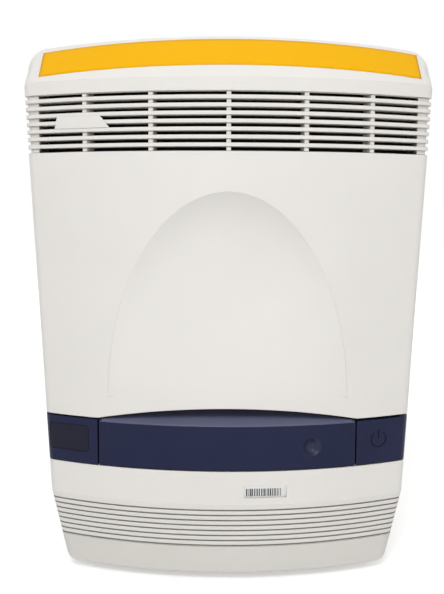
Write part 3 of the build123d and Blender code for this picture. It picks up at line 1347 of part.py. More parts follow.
with BuildPart() as optics_brackets:
    for side in (-1, 1):
        with BuildSketch(Plane.YZ.offset(side * (bracket_inner + SHEET / 2) - SHEET / 2)):
            with BuildLine():
                Polyline((PLATE_Y - mirror_reach - 4, SHELF_TOP), (PLATE_Y + mirror_reach + 4, SHELF_TOP),
                         (PLATE_Y + mirror_reach + 4, BEAM_Z + mirror_reach + 4),
                         (PLATE_Y + mirror_reach - 6, BEAM_Z + mirror_reach + 4),
                         (PLATE_Y - mirror_reach - 4, BEAM_Z - mirror_reach + 6),
                         (PLATE_Y - mirror_reach - 4, SHELF_TOP))
            make_face()
        extrude(amount=SHEET)
    with BuildSketch(Plane.XY.offset(SHELF_TOP)):
        with Locations(Location((LAMP_X, splitter_y, 0), -45)):
            Rectangle(SIDE_MIRROR / 2, 10)
    extrude(amount=BEAM_Z - SIDE_MIRROR / 2 - SHELF_TOP)
    with BuildSketch(Plane.XY.offset(SHELF_TOP)):
        with Locations(Location((0, splitter_y, 0), 45)):
            Rectangle(SPLITTER_SIZE / 2, 10)
    extrude(amount=BEAM_Z - SPLITTER_SIZE / 2 - SHELF_TOP)
    for motor_x, motor_y in ((LAMP_X, excitation_y), (0, emission_y)):
        with BuildSketch(Plane.XY.offset(SHELF_TOP)):
            with Locations((motor_x, motor_y + WHEEL_THICKNESS / 2 + 2 + WHEEL_MOTOR_LENGTH / 2)):
                Rectangle(WHEEL_MOTOR, WHEEL_MOTOR)
        extrude(amount=wheel_z - SHELF_TOP)
    with BuildSketch(Plane.XY.offset(SHELF_TOP)):
        with Locations((0, camera_y + CAMERA_LENGTH / 2)):
            Rectangle(CAMERA_SIZE * 0.6, CAMERA_LENGTH * 0.7)
    extrude(amount=camera_foot - SHELF_TOP)
    add(wheel_motors.part, mode=Mode.SUBTRACT)
    for motor_x, motor_y in ((LAMP_X, excitation_y), (0, emission_y)):
        with BuildSketch(upright(motor_y + WHEEL_THICKNESS / 2 + 2 + WHEEL_MOTOR_LENGTH)):
            with Locations((motor_x, wheel_z)):
                Circle(WHEEL_MOTOR / 2)
        extrude(amount=WHEEL_MOTOR_LENGTH, mode=Mode.SUBTRACT)
save(optics_brackets, "optics_brackets")

# Camera lens barrel with a stepped front
lens_front = emission_y + WHEEL_THICKNESS / 2 + 3

with BuildPart() as lens_barrel:
    with BuildSketch(upright(camera_y)):
        with Locations((0, BEAM_Z)):
            Circle(LENS_DIAMETER / 2 - 3)
    extrude(amount=camera_y - lens_front - 12)
    with BuildSketch(upright(lens_front + 30)):
        with Locations((0, BEAM_Z)):
            Circle(LENS_DIAMETER / 2)
    extrude(amount=30)
    with BuildSketch(upright(lens_front + 6)):
        with Locations((0, BEAM_Z)):
            Circle(LENS_DIAMETER / 2 - 4)
    extrude(amount=6, mode=Mode.SUBTRACT)
save(lens_barrel, "lens_barrel")

# Camera with cooling grooves round its rear half
with BuildPart() as ccd_camera:
    with BuildSketch(upright(camera_y + CAMERA_LENGTH)):
        with Locations((0, BEAM_Z)):
            RectangleRounded(CAMERA_SIZE, CAMERA_SIZE, 4)
    extrude(amount=CAMERA_LENGTH)
    for groove in range(5):
        with BuildSketch(upright(camera_y + CAMERA_LENGTH - 6 - 5 * groove)):
            with Locations((0, BEAM_Z)):
                Rectangle(CAMERA_SIZE + 2, CAMERA_SIZE + 2)
                Rectangle(CAMERA_SIZE - 8, CAMERA_SIZE - 8, mode=Mode.SUBTRACT)
        extrude(amount=2, mode=Mode.SUBTRACT)
save(ccd_camera, "ccd_camera")

# Power supply on the base pan, between the chassis plates
supply_rear = BULKHEAD_Y + CHASSIS_TAIL - 4

with BuildPart() as power_supply:
    add(lamp_box(-SUPPLY_WIDTH / 2, SUPPLY_WIDTH / 2, supply_rear - SUPPLY_DEPTH, supply_rear,
                 FLOOR_Z, FLOOR_Z + SUPPLY_HEIGHT))
save(power_supply, "power_supply")

# Control board on standoffs outside the right chassis plate
board_x = CHASSIS_HALF + SHEET + STANDOFF
board_y = BULKHEAD_Y + CHASSIS_TAIL - BOARD_DEPTH / 2 - 14
board_z = BASE_TOP + BOARD_HEIGHT * 0.75

with BuildPart() as control_board:
    with BuildSketch(Plane.YZ.offset(board_x)):
        with Locations((board_y, board_z)):
            Rectangle(BOARD_DEPTH, BOARD_HEIGHT)
    extrude(amount=BOARD_THICKNESS)
    with BuildSketch(Plane.YZ.offset(CHASSIS_HALF + SHEET)):
        with Locations((board_y, board_z)):
            with GridLocations(BOARD_DEPTH - 12, BOARD_HEIGHT - 12, 2, 2):
                Circle(STANDOFF / 2)
    extrude(amount=STANDOFF)
    with BuildSketch(Plane.YZ.offset(board_x + BOARD_THICKNESS)):
        with Locations((board_y - 30, board_z + 20)):
            Rectangle(28, 28)
        with Locations((board_y + 35, board_z - 10)):
            Rectangle(20, 40)
        with Locations((board_y - 20, board_z - 30)):
            Rectangle(50, 12)
    extrude(amount=4)
save(control_board, "control_board")

# Indicator board with two lamps behind the status window
LED_RADIUS = 2.5
LED_REACH = 18.0
indicator_y = bulkhead_front - 14
indicator_x = (WINDOW_LEFT + WINDOW_RIGHT) / 2 + 5.7
indicator_z = BAND_Z + WINDOW_RISE + WINDOW_HEIGHT / 2 - 2

with BuildPart() as indicator_board:
    with BuildSketch(upright(indicator_y)):
        with Locations((indicator_x, indicator_z)):
            Rectangle(28, 28)
    extrude(amount=BOARD_THICKNESS)
    with BuildSketch(upright(indicator_y)):
        with Locations((indicator_x, indicator_z)):
            with GridLocations(12, 0, 2, 1):
                Circle(LED_RADIUS)
    extrude(amount=LED_REACH)
    with BuildSketch(upright(bulkhead_front)):
        with Locations((indicator_x + 9, indicator_z)):
            with GridLocations(0, 20, 1, 2):
                Circle(STANDOFF / 2)
    extrude(amount=bulkhead_front - indicator_y)
save(indicator_board, "indicator_board")

# Two catches that hold the free edge of the access door
CATCH_X = 124.0
CATCH_DIAMETER = 8.0
CATCH_INSET = 24.0

with BuildPart() as door_catches:
    for catch_z in (DOOR_Z + CATCH_INSET, DOOR_TOP - CATCH_INSET):
        with BuildSketch(upright(bulkhead_front)):
            with Locations((CATCH_X, catch_z)):
                Circle(CATCH_DIAMETER / 2)
        extrude(amount=bulkhead_front - front_face_y(CATCH_X + CATCH_DIAMETER / 2, WALL) - 0.5)
save(door_catches, "door_catches")
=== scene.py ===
"""Looks of a bench-top real-time PCR instrument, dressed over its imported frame.

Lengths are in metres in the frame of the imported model: X to the right, Y to the back, Z up,
with the middle of the footprint on the table at the origin and the bowed front facing -Y.
"""

import json
import logging
import math
from dataclasses import dataclass, field
from enum import Enum

import bmesh
import bpy
import numpy as np
from mathutils import Matrix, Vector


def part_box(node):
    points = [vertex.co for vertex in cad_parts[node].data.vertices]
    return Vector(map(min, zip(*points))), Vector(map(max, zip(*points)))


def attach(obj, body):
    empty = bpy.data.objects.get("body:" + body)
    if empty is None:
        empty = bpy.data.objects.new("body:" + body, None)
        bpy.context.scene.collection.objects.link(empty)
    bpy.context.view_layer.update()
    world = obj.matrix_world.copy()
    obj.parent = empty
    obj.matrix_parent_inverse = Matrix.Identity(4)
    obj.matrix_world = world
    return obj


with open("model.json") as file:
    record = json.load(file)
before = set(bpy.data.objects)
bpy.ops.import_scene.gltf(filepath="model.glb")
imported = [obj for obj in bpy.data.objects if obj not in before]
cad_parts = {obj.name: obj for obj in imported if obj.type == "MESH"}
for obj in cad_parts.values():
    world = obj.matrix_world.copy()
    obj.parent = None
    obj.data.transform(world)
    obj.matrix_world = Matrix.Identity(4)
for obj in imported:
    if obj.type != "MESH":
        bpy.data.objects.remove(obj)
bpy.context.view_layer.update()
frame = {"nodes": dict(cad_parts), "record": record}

LOG = logging.getLogger("real_time_pcr")

# The bowed front is a cylinder of FRONT_RADIUS about an upright axis at x = 0 and y = AXIS_Y.
# Over FOLD_Z it leans back at 45 degrees.
FRONT_RADIUS = 0.330
AXIS_Y = 0.105
FOLD_Z = 0.412
WELD_DISTANCE = 1e-6


def linear(rgb: tuple[float, float, float]) -> tuple[float, float, float, float]:
    """Turn a colour as it looks on a screen into the linear values of a shader.

    Args:
        rgb: Red, green and blue from 0 to 255.

    Returns:
        Linear red, green, blue and an alpha of 1.
    """
    values = [c / 255.0 for c in rgb]
    plain = [c / 12.92 if c <= 0.04045 else ((c + 0.055) / 1.055) ** 2.4 for c in values]
    return plain[0], plain[1], plain[2], 1.0


class NodeBench:
    """A material under construction, with short ways to add its nodes and wire them."""

    def __init__(self, name: str) -> None:
        """Start a material that has one Principled shader and Object coordinates."""
        self.material = bpy.data.materials.new(name)
        self.material.use_nodes = True
        self.tree = self.material.node_tree
        self.shader = self.tree.nodes["Principled BSDF"]
        self.coords = self.tree.nodes.new("ShaderNodeTexCoord").outputs["Object"]

    def add(self, kind: str, **settings: object) -> bpy.types.Node:
        """Add a node of a kind.

        Args:
            kind: Blender's name of the node type.
            settings: Properties of the node, or default values of its inputs.

        Returns:
            The new node.
        """
        node = self.tree.nodes.new(kind)
        for key, value in settings.items():
            if hasattr(node, key):
                setattr(node, key, value)
            else:
                node.inputs[key].default_value = value
        return node

    def wire(self, start: bpy.types.NodeSocket, end: bpy.types.NodeSocket) -> None:
        """Join an output to an input."""
        self.tree.links.new(start, end)

    def stretched(self, scale: tuple[float, float, float]) -> bpy.types.NodeSocket:
        """Give Object coordinates multiplied by a scale for each axis."""
        mapping = self.add("ShaderNodeMapping", Scale=scale)
        self.wire(self.coords, mapping.inputs["Vector"])
        return mapping.outputs["Vector"]

    def noise(
        self, scale: float, detail: float, coords: bpy.types.NodeSocket
    ) -> bpy.types.NodeSocket:
        """Give a smooth random pattern.

        Args:
            scale: Features in each metre.
            detail: Octaves added to the pattern.
            coords: The coordinates that the pattern reads.

        Returns:
            The pattern's factor output.
        """
        node = self.add("ShaderNodeTexNoise", Scale=scale, Detail=detail)
        self.wire(coords, node.inputs["Vector"])
        return node.outputs["Fac"]

    def ramp(
        self,
        factor: bpy.types.NodeSocket,
        low: tuple[float, float, float, float],
        high: tuple[float, float, float, float],
        span: tuple[float, float] = (0.3, 0.7),
    ) -> bpy.types.NodeSocket:
        """Blend two colours along a pattern.

        Args:
            factor: The pattern.
            low: Colour at the low end.
            high: Colour at the high end.
            span: Where in the pattern the blend starts and ends.

        Returns:
            The colour output.
        """
        node = self.add("ShaderNodeValToRGB")
        node.color_ramp.elements[0].position = span[0]
        node.color_ramp.elements[1].position = span[1]
        node.color_ramp.elements[0].color = low
        node.color_ramp.elements[1].color = high
        self.wire(factor, node.inputs["Fac"])
        return node.outputs["Color"]

    def range(
        self,
        factor: bpy.types.NodeSocket,
        low: float,
        high: float,
        span: tuple[float, float] = (0.3, 0.7),
    ) -> bpy.types.NodeSocket:
        """Map a pattern onto a range of numbers.

        Args:
            factor: The pattern.
            low: Number at the low end.
            high: Number at the high end.
            span: Where in the pattern the range starts and ends.

        Returns:
            The number's output.
        """
        node = self.add("ShaderNodeMapRange")
        node.inputs["From Min"].default_value = span[0]
        node.inputs["From Max"].default_value = span[1]
        node.inputs["To Min"].default_value = low
        node.inputs["To Max"].default_value = high
        self.wire(factor, node.inputs["Value"])
        return node.outputs["Result"]

    def bump(
        self,
        height: bpy.types.NodeSocket,
        depth: float,
        under: bpy.types.NodeSocket | None = None,
        hollow: bool = False,
    ) -> bpy.types.NodeSocket:
        """Raise or sink the surface by a pattern.

        Args:
            height: The pattern.
            depth: Metres from the pattern's 0 to its 1.
            under: Normal of what the pattern lies on, if not the mesh itself.
            hollow: Whether the pattern sinks the surface.

        Returns:
            The new normal, which the shader reads too.
        """
        node = self.add("ShaderNodeBump", Strength=1.0, Distance=depth, invert=hollow)
        self.wire(height, node.inputs["Height"])
        if under is not None:
            self.wire(under, node.inputs["Normal"])
        self.wire(node.outputs["Normal"], self.shader.inputs["Normal"])
        return node.outputs["Normal"]

    def sum_up(
        self,
        operation: str,
        first: bpy.types.NodeSocket | float,
        second: bpy.types.NodeSocket | float,
    ) -> bpy.types.NodeSocket:
        """Work out a sum on two numbers, each an output or a plain value.

        Args:
            operation: Blender's name of the sum.
            first: The first number.
            second: The second number.

        Returns:
            The result's output.
        """
        node = self.add("ShaderNodeMath", operation=operation)
        for value, socket in zip((first, second), node.inputs):
            if isinstance(value, bpy.types.NodeSocket):
                self.wire(value, socket)
            else:
                socket.default_value = value
        return node.outputs[0]

    def number(self, socket: str, value: float) -> None:
        """Set a shader value that is the same all over the surface."""
        self.shader.inputs[socket].default_value = value


@dataclass(frozen=True)
class MouldedPlastic:
    """Injection-moulded plastic: spark-eroded grain, faint mottling and an uneven sheen.

    Painted shade: where its own surface closes in round a point, as in grooves, seams and gaps, its
    colour falls towards the crevice share of itself; where that is 1 it stays even.
    """

    colour: tuple[float, float, float]
    shade: tuple[float, float, float]
    roughness: float = 0.45
    grain: float = 1500.0
    grain_depth: float = 0.00006
    gloss: float = 0.4
    edge: float = 0.0007
    crevice: float = 1.0
    crevice_reach: float = 0.002

    def tone(self, bench: NodeBench) -> bpy.types.NodeSocket:
        """Give the colour: two close tones mottled together, darkened by painted shade deep in
        grooves.
        """
        clouds = bench.noise(14.0, 3.0, bench.coords)
        mottle = bench.ramp(clouds, linear(self.shade), linear(self.colour))
        if self.crevice == 1.0:
            return mottle
        # Painted shade: the occlusion of the piece's own surface darkens the colour in grooves,
        # seams and gaps.
        occlusion_shade = bench.add(
            "ShaderNodeAmbientOcclusion", samples=6, only_local=True, Distance=self.crevice_reach
        )
        share = bench.range(occlusion_shade.outputs["AO"], self.crevice, 1.0, (0.25, 0.8))
        scale = bench.add("ShaderNodeVectorMath", operation="SCALE")
        bench.wire(mottle, scale.inputs[0])
        bench.wire(share, scale.inputs["Scale"])
        return scale.outputs["Vector"]

    def shape(self, bench: NodeBench) -> bpy.types.NodeSocket:
        """Give the normal that the grain lies on: the mesh with its edges eased."""
        return bench.add("ShaderNodeBevel", samples=4, Radius=self.edge).outputs["Normal"]

    def build(self, name: str) -> bpy.types.Material:
        """Make the material."""
        bench = NodeBench(name)
        bench.wire(self.tone(bench), bench.shader.inputs["Base Color"])
        sheen = bench.noise(60.0, 4.0, bench.coords)
        rough = bench.range(sheen, self.roughness - 0.05, self.roughness + 0.05)
        bench.wire(rough, bench.shader.inputs["Roughness"])
        bench.number("Specular IOR Level", self.gloss)
        bench.bump(bench.noise(self.grain, 2.0, bench.coords), self.grain_depth, self.shape(bench))
        return bench.material


@dataclass(frozen=True)
class DishedPlastic(MouldedPlastic):
    """The same plastic where it is pressed into a soft hollow with an elliptical rim.

    With t the height over the hollow's centre as a share of its rise, and q the distance from
    the centre as a share of the ellipse's own, the hollow is depth * t^fade * (1 - q^2) deep.
    """

    centre_x: float = 0.0
    centre_z: float = 0.1535
    half: float = 0.098
    rise: float = 0.170
    depth: float = 0.027
    fade: float = 1.5

    def shape(self, bench: NodeBench) -> bpy.types.NodeSocket:
        """Give the normal of the hollow."""
        place = bench.add(
            "ShaderNodeMapping",
            Scale=(1.0 / self.half, 0.0, 1.0 / self.rise),
            Location=(-self.centre_x / self.half, 0.0, -self.centre_z / self.rise),
        )
        bench.wire(bench.coords, place.inputs["Vector"])
        length = bench.add("ShaderNodeVectorMath", operation="DOT_PRODUCT")
        bench.wire(place.outputs["Vector"], length.inputs[0])
        bench.wire(place.outputs["Vector"], length.inputs[1])
        parts = bench.add("ShaderNodeSeparateXYZ")
        bench.wire(place.outputs["Vector"], parts.inputs["Vector"])
        room = bench.sum_up("SUBTRACT", 1.0, length.outputs["Value"])
        fading = bench.sum_up("POWER", bench.sum_up("MAXIMUM", parts.outputs["Z"], 0.0), self.fade)
        sunk = bench.sum_up("MULTIPLY", bench.sum_up("MAXIMUM", room, 0.0), fading)
        return bench.bump(sunk, self.depth, hollow=True)


@dataclass(frozen=True)
class WorkedMetal:
    """Metal with the marks of its working: streaks along one axis, or an even blasted grain."""

    colour: tuple[float, float, float]
    shade: tuple[float, float, float]
    roughness: float = 0.3
    streaks: tuple[float, float, float] = (40.0, 1200.0, 1200.0)
    depth: float = 0.00002
    metallic: float = 1.0

    def build(self, name: str) -> bpy.types.Material:
        """Make the material."""
        bench = NodeBench(name)
        marks = bench.noise(1.0, 3.0, bench.stretched(self.streaks))
        clouds = bench.noise(25.0, 3.0, bench.coords)
        tone = bench.ramp(clouds, linear(self.shade), linear(self.colour))
        bench.wire(tone, bench.shader.inputs["Base Color"])
        rough = bench.range(marks, self.roughness - 0.08, self.roughness + 0.1)
        bench.wire(rough, bench.shader.inputs["Roughness"])
        bench.number("Metallic", self.metallic)
        bench.bump(marks, self.depth)
        return bench.material


@dataclass(frozen=True)
class ClearGlass:
    """Glass or clear acrylic with faint wipe marks in its polish."""

    colour: tuple[float, float, float]
    roughness: float = 0.03
    index: float = 1.49
    transmission: float = 1.0
    gloss: float = 0.5

    def build(self, name: str) -> bpy.types.Material:
        """Make the material."""
        bench = NodeBench(name)
        wipes = bench.noise(30.0, 5.0, bench.stretched((1.0, 4.0, 1.0)))
        rough = bench.range(wipes, self.roughness, self.roughness + 0.05)
        bench.wire(rough, bench.shader.inputs["Roughness"])
        tint = linear(self.colour)
        paler = (*(min(1.0, c * 1.05) for c in tint[:3]), 1.0)
        bench.wire(bench.ramp(wipes, tint, paler), bench.shader.inputs["Base Color"])
        bench.number("IOR", self.index)
        bench.number("Specular IOR Level", self.gloss)
        bench.number("Transmission Weight", self.transmission)
        return bench.material


@dataclass(frozen=True)
class CircuitBoard:
    """Solder resist over copper: a pale run shows where cells of the pattern meet."""

    colour: tuple[float, float, float] = (24, 84, 52)
    copper: tuple[float, float, float] = (58, 128, 84)

    def build(self, name: str) -> bpy.types.Material:
        """Make the material."""
        bench = NodeBench(name)
        cells = bench.add(
            "ShaderNodeTexVoronoi", feature="DISTANCE_TO_EDGE", distance="CHEBYCHEV", Scale=140.0
        )
        bench.wire(bench.coords, cells.inputs["Vector"])
        runs = cells.outputs["Distance"]
        tone = bench.ramp(runs, linear(self.copper), linear(self.colour), (0.04, 0.08))
        bench.wire(tone, bench.shader.inputs["Base Color"])
        bench.wire(bench.range(runs, 0.28, 0.4, (0.0, 0.3)), bench.shader.inputs["Roughness"])
        bench.bump(runs, 0.00002)
        return bench.material


@dataclass(frozen=True)
class PrintedFilm:
    """Matt printed film: an even colour over a very fine dot grain."""

    colour: tuple[float, float, float]
    roughness: float = 0.5
    gloss: float = 0.1

    def build(self, name: str) -> bpy.types.Material:
        """Make the material."""
        bench = NodeBench(name)
        bench.number("Specular IOR Level", self.gloss)
        dots = bench.noise(2600.0, 1.0, bench.coords)
        base = linear(self.colour)
        under = (*(c * 0.96 for c in base[:3]), 1.0)
        bench.wire(bench.ramp(dots, under, base), bench.shader.inputs["Base Color"])
        rough = bench.range(dots, self.roughness - 0.04, self.roughness + 0.04)
        bench.wire(rough, bench.shader.inputs["Roughness"])
        bench.bump(dots, 0.00001)
        return bench.material


class Finish(Enum):
    """The finishes of the instrument, one for each material slot and a few for single nodes."""

    # housing_white paints shade into its grooves, seams and gaps through its crevice share.
    housing_white = MouldedPlastic((243, 240, 235), (240, 237, 232), crevice=0.35)
    scoop_white = DishedPlastic((243, 240, 235), (240, 237, 232))
    base_grey = MouldedPlastic((233, 230, 224), (229, 226, 220), roughness=0.5)
    # A paler copy of band_navy: painted reflection on the finger ledge.
    ledge_navy = MouldedPlastic((104, 107, 134), (98, 102, 129), roughness=0.4, gloss=0.5)
    dimple_navy = DishedPlastic(
        (35, 40, 69),
        (31, 36, 64),
        grain_depth=0.00003,
        gloss=0.3,
        centre_x=0.0693,
        centre_z=0.1163,
        half=0.0079,
        rise=0.0079,
        depth=0.004,
        fade=0.0,
    )
    band_navy = MouldedPlastic((35, 40, 69), (31, 36, 64), 0.42, grain_depth=0.00004, gloss=0.14)
    window_clear = MouldedPlastic((24, 27, 47), (22, 25, 44), 0.2, grain_depth=0.000002, gloss=0.15)
    rubber_black = MouldedPlastic((34, 34, 35), (26, 26, 27), 0.75, grain_depth=0.0001)
    sheet_steel = WorkedMetal((186, 188, 190), (180, 182, 185), roughness=0.4, depth=0.000006)
    plate_aluminium = WorkedMetal((205, 207, 210), (192, 195, 198), roughness=0.36)
    block_silver = WorkedMetal((222, 222, 220), (205, 205, 204), 0.24, (900.0, 900.0, 900.0))
    black_plastic = MouldedPlastic((30, 30, 32), (22, 22, 24), roughness=0.5)
    black_anodised = WorkedMetal(
        (30, 30, 33), (20, 20, 22), 0.42, (1400.0, 1400.0, 1400.0), metallic=0.6
    )
    white_ceramic = MouldedPlastic((232, 230, 222), (222, 220, 212), 0.32, grain_depth=0.00002)
    board_green = CircuitBoard()
    mirror_silver = WorkedMetal(
        (232, 235, 238), (226, 230, 234), 0.09, (300.0, 300.0, 300.0), 0.000002
    )
    optical_glass = ClearGlass((196, 150, 206), roughness=0.02, index=1.52, transmission=0.75)
    lamp_glass = ClearGlass((244, 244, 240), roughness=0.02, index=1.47)
    label_yellow = PrintedFilm((255, 190, 3))
    label_white = PrintedFilm((240, 240, 238))
    ink_grey = PrintedFilm((70, 72, 80))
    mark_blue = PrintedFilm((18, 20, 36))
    # Near-black: painted shade for the dark insides of the louvre gaps.
    screen_black = MouldedPlastic((12, 12, 12), (8, 8, 8), roughness=0.9)

    def material(self) -> bpy.types.Material:
        """Give the finish's material, made at its first use."""
        name = f"{self.name}_finish"
        return bpy.data.materials.get(name) or self.value.build(name)


def grid_piece(
    name: str,
    points: np.ndarray,
    finish: Finish,
    body: str,
    thickness: float = 0.0,
) -> bpy.types.Object:
    """Make a piece from a grid of points: every four neighbours in the grid are one face.

    Args:
        name: Name of the piece.
        points: Rows by columns by 3, in metres. The outer side is the one from which a turn from
            the columns' direction to the rows' is to the left.
        finish: Finish of the piece.
        body: Body that the piece rides on.
        thickness: Wall laid behind the surface, or 0 for none.

    Returns:
        The new object.
    """
    rows, columns = points.shape[:2]
    index = np.arange(rows * columns).reshape(rows, columns)
    ring = [index[:-1, :-1], index[:-1, 1:], index[1:, 1:], index[1:, :-1]]
    corners = np.stack(ring, axis=-1).reshape(-1, 4)
    mesh = bpy.data.meshes.new(name)
    mesh.from_pydata(points.reshape(-1, 3).tolist(), [], corners.tolist())
    weld = bmesh.new()
    weld.from_mesh(mesh)
    bmesh.ops.remove_doubles(weld, verts=weld.verts, dist=WELD_DISTANCE)
    weld.to_mesh(mesh)
    weld.free()
    mesh.polygons.foreach_set("use_smooth", np.ones(len(mesh.polygons), bool))
    mesh.update()
    piece = bpy.data.objects.new(name, mesh)
    bpy.context.scene.collection.objects.link(piece)
    if thickness:
        wall = piece.modifiers.new("wall", "SOLIDIFY")
        wall.thickness = thickness
        wall.offset = -1.0
    mesh.materials.append(finish.material())
    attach(piece, body)
    LOG.info("piece %s: %d faces on %s", name, len(corners), body)
    return piece


@dataclass
class Dressing:
    """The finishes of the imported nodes: by material slot, with a few nodes set apart."""

    apart: dict[str, Finish] = field(default_factory=lambda: {"base_pan": Finish.base_grey})

    def dress(self) -> None:
        """Give every node its finish in all of its material slots."""
        for part in frame["record"]["subparts"]:
            node = frame["nodes"].get(part["node"])
            if node is None:
                continue
            finish = self.apart.get(part["node"], Finish[part["material_slot"]])
            node.data.materials.clear()
            node.data.materials.append(finish.material())
            LOG.info("node %s: %s", part["node"], finish.name)


@dataclass
class Brow:
    """The leaning brow over the louvres, with its bare yellow label."""

    half_length: float = 0.1578
    middle_x: float = 0.0015
    low_middle: float = 0.4221
    low_end: float = 0.4167
    high_middle: float = 0.4459
    high_end: float = 0.4395
    lift: float = 0.00035
    film: float = 0.0003

    def build(self) -> None:
        """Lay the label on the brow.

        The brow is a cylinder of the front's radius sheared back by its own rise, so a point at x
        and z lies at y = AXIS_Y + (z - FOLD_Z) - sqrt(FRONT_RADIUS^2 - x^2). The label's lower and
        upper edges fall towards its ends with the square of the distance from its middle.
        """
        u = np.linspace(-1.0, 1.0, 97)[None, :]
        v = np.linspace(0.0, 1.0, 9)[:, None]
        x = self.middle_x + self.half_length * u + 0.0 * v
        low = self.low_middle + (self.low_end - self.low_middle) * u**2
        high = self.high_middle + (self.high_end - self.high_middle) * u**2
        z = low + (high - low) * v
        y = AXIS_Y + (z - FOLD_Z) - np.sqrt(FRONT_RADIUS**2 - x**2)
        level = np.ones_like(x)
        normal = np.stack([x / np.sqrt(FRONT_RADIUS**2 - x**2), -level, level], axis=-1)
        normal /= np.linalg.norm(normal, axis=-1, keepdims=True)
        points = np.stack([x, y, z], axis=-1) + normal * self.lift
        grid_piece("brow_label", points, Finish.label_yellow, "housing", self.film)


@dataclass
class Scoop:
    """The soft hollow under the arch of the door, laid into the door's own cut."""

    foot_z: float = 0.1535
    half: float = 0.098
    rise: float = 0.170
    depth: float = 0.0055
    roll: float = 7.0
    lift: float = 0.00014
    rim: float = 1.002
    rim_drop: float = 0.6
    rim_power: int = 60
    merge: float = 0.014
    film: float = 0.0001

    def build(self) -> None:
        """Lay the hollow's face from the arch to its foot, where it dips under the door's own face.

        Over an angle t and a share q of the half ellipse, x = half * q * cos t and z = foot_z +
        rise * q * sin t. The face lies behind the front's cylinder by depth * (z - foot_z) / rise,
        times 1 - q^roll, which rolls it over to the front at the arch. It stands proud of the cut
        by lift, which a smooth step turns into as much under it at the foot, and which falls by
        the share rim_drop * q^rim_power at the arch.
        """
        t = np.linspace(0.0, math.pi, 129)[None, :]
        q = np.concatenate([np.linspace(self.rim, 0.82, 28), np.linspace(0.80, 0.0, 20)])[:, None]
        x = self.half * q * np.cos(t)
        z = self.foot_z + self.rise * q * np.sin(t)
        sunk = self.depth * (z - self.foot_z) / self.rise * np.clip(1.0 - q**self.roll, 0.0, 1.0)
        above = np.clip((z - self.foot_z) / self.merge, 0.0, 1.0)
        step = 2.0 * above * above * (3.0 - 2.0 * above) - 1.0
        proud = self.lift * step * (1.0 - self.rim_drop * np.clip(q, 0, 1) ** self.rim_power)
        y = AXIS_Y + sunk - proud - np.sqrt(FRONT_RADIUS**2 - x**2)
        points = np.stack([x, y, z], axis=-1)
        grid_piece(
            "door_scoop", points, Finish.scoop_white, "access_door", self.film
        )


@dataclass
class LedgeSheenFace:
    """A face on the finger ledge of the tray's door, rolled over its crease, in a paler navy than
    the door: painted reflection of the bright surroundings on the ledge.
    """

    crease_z: float = 0.135
    slope: float = 13.0 / 22.0
    half: float = 0.1052
    arch_radius: float = 0.48943
    arch_centre: float = -0.34173
    lip: float = 0.012
    lift: float = 0.00013
    film: float = 0.0001

    def build(self) -> None:
        """Lay the face from just under the crease to the arch.

        The ledge is a cone about the front's axis: at a height z it has the radius FRONT_RADIUS -
        (z - crease_z) / slope. Its upper edge is a circle about arch_centre, seen from the front.
        A share v below 0 lies v * lip under the crease, on the upright front.
        """
        x = np.linspace(-self.half, self.half, 121)[None, :]
        top = self.arch_centre + np.sqrt(self.arch_radius**2 - x**2) - self.crease_z
        v = np.array([-0.05, -0.02, 0.0, 0.03, 0.08, 0.2, 0.4, 0.6, 0.8, 1.0])[:, None]
        rise = np.where(v < 0.0, v * self.lip, v * top)
        radius = FRONT_RADIUS - np.clip(rise, 0.0, None) / self.slope + self.lift
        y = AXIS_Y - np.sqrt(radius**2 - x**2)
        z = self.crease_z + rise + self.lift * (v >= 0.0)
        points = np.stack([x + 0.0 * rise, y, z], axis=-1)
        grid_piece("ledge_face", points, Finish.ledge_navy, "tray", self.film)


@dataclass
class Dimple:
    """The round finger dimple at the right of the tray's door, where the touch latch is pushed."""

    x: float = 0.0693
    z: float = 0.1163
    radius: float = 0.0079
    ball: float = 0.0208
    depth: float = 0.0016
    lift: float = 0.0001
    film: float = 0.00008

    def build(self) -> None:
        """Lay a round face in the dimple: rings and spokes on the ball that the dimple is cut with.

        The ball's centre lies outside the front's cylinder by ball - depth. A point lies on the
        ball, or on the front where the ball would be outside it.
        """
        t = np.linspace(0.0, 2.0 * math.pi, 49)[None, :]
        q = np.linspace(1.0, 0.0, 12)[:, None]
        across = self.radius * q * np.cos(t)
        up = self.radius * q * np.sin(t)
        x = self.x + across
        centre_y = AXIS_Y - math.sqrt((FRONT_RADIUS + self.ball - self.depth) ** 2 - self.x**2)
        dish = centre_y + np.sqrt(self.ball**2 - across**2 - up**2)
        y = np.maximum(dish, AXIS_Y - np.sqrt(FRONT_RADIUS**2 - x**2)) - self.lift
        points = np.stack([x, y, self.z + up], axis=-1)
        grid_piece("door_dimple", points, Finish.dimple_navy, "tray", self.film)


@dataclass
class ShadeScreen:
    """A near-black sheet behind the louvre slats, with a foam-like cell relief: painted shade for
    the dark insides of the gaps.
    """

    radius: float = 0.3157
    half: float = 0.150
    low: float = 0.3565
    high: float = 0.4045
    thickness: float = 0.003
    gap: float = 0.0004
    cell_height: float = 0.0003
    cell_width: float = 0.0011
    cell_rise: float = 0.0013

    def build(self) -> None:
        """Lay the sheet behind the slats' backs.

        It is the cylinder y = AXIS_Y - sqrt(r^2 - x^2), where r is the radius less a gap, and its
        cells raise r by cell_height * sin(x / cell_width) * sin(z / cell_rise).
        """
        u = np.linspace(-1.0, 1.0, 161)[None, :]
        v = np.linspace(0.0, 1.0, 25)[:, None]
        x = self.half * u + 0.0 * v
        z = self.low + (self.high - self.low) * v + 0.0 * u
        cells = self.cell_height * np.sin(x / self.cell_width) * np.sin(z / self.cell_rise)
        y = AXIS_Y - np.sqrt((self.radius - self.gap + cells) ** 2 - x**2)
        points = np.stack([x, y, z], axis=-1)
        grid_piece(
            "louvre_foam", points, Finish.screen_black, "housing", self.thickness
        )


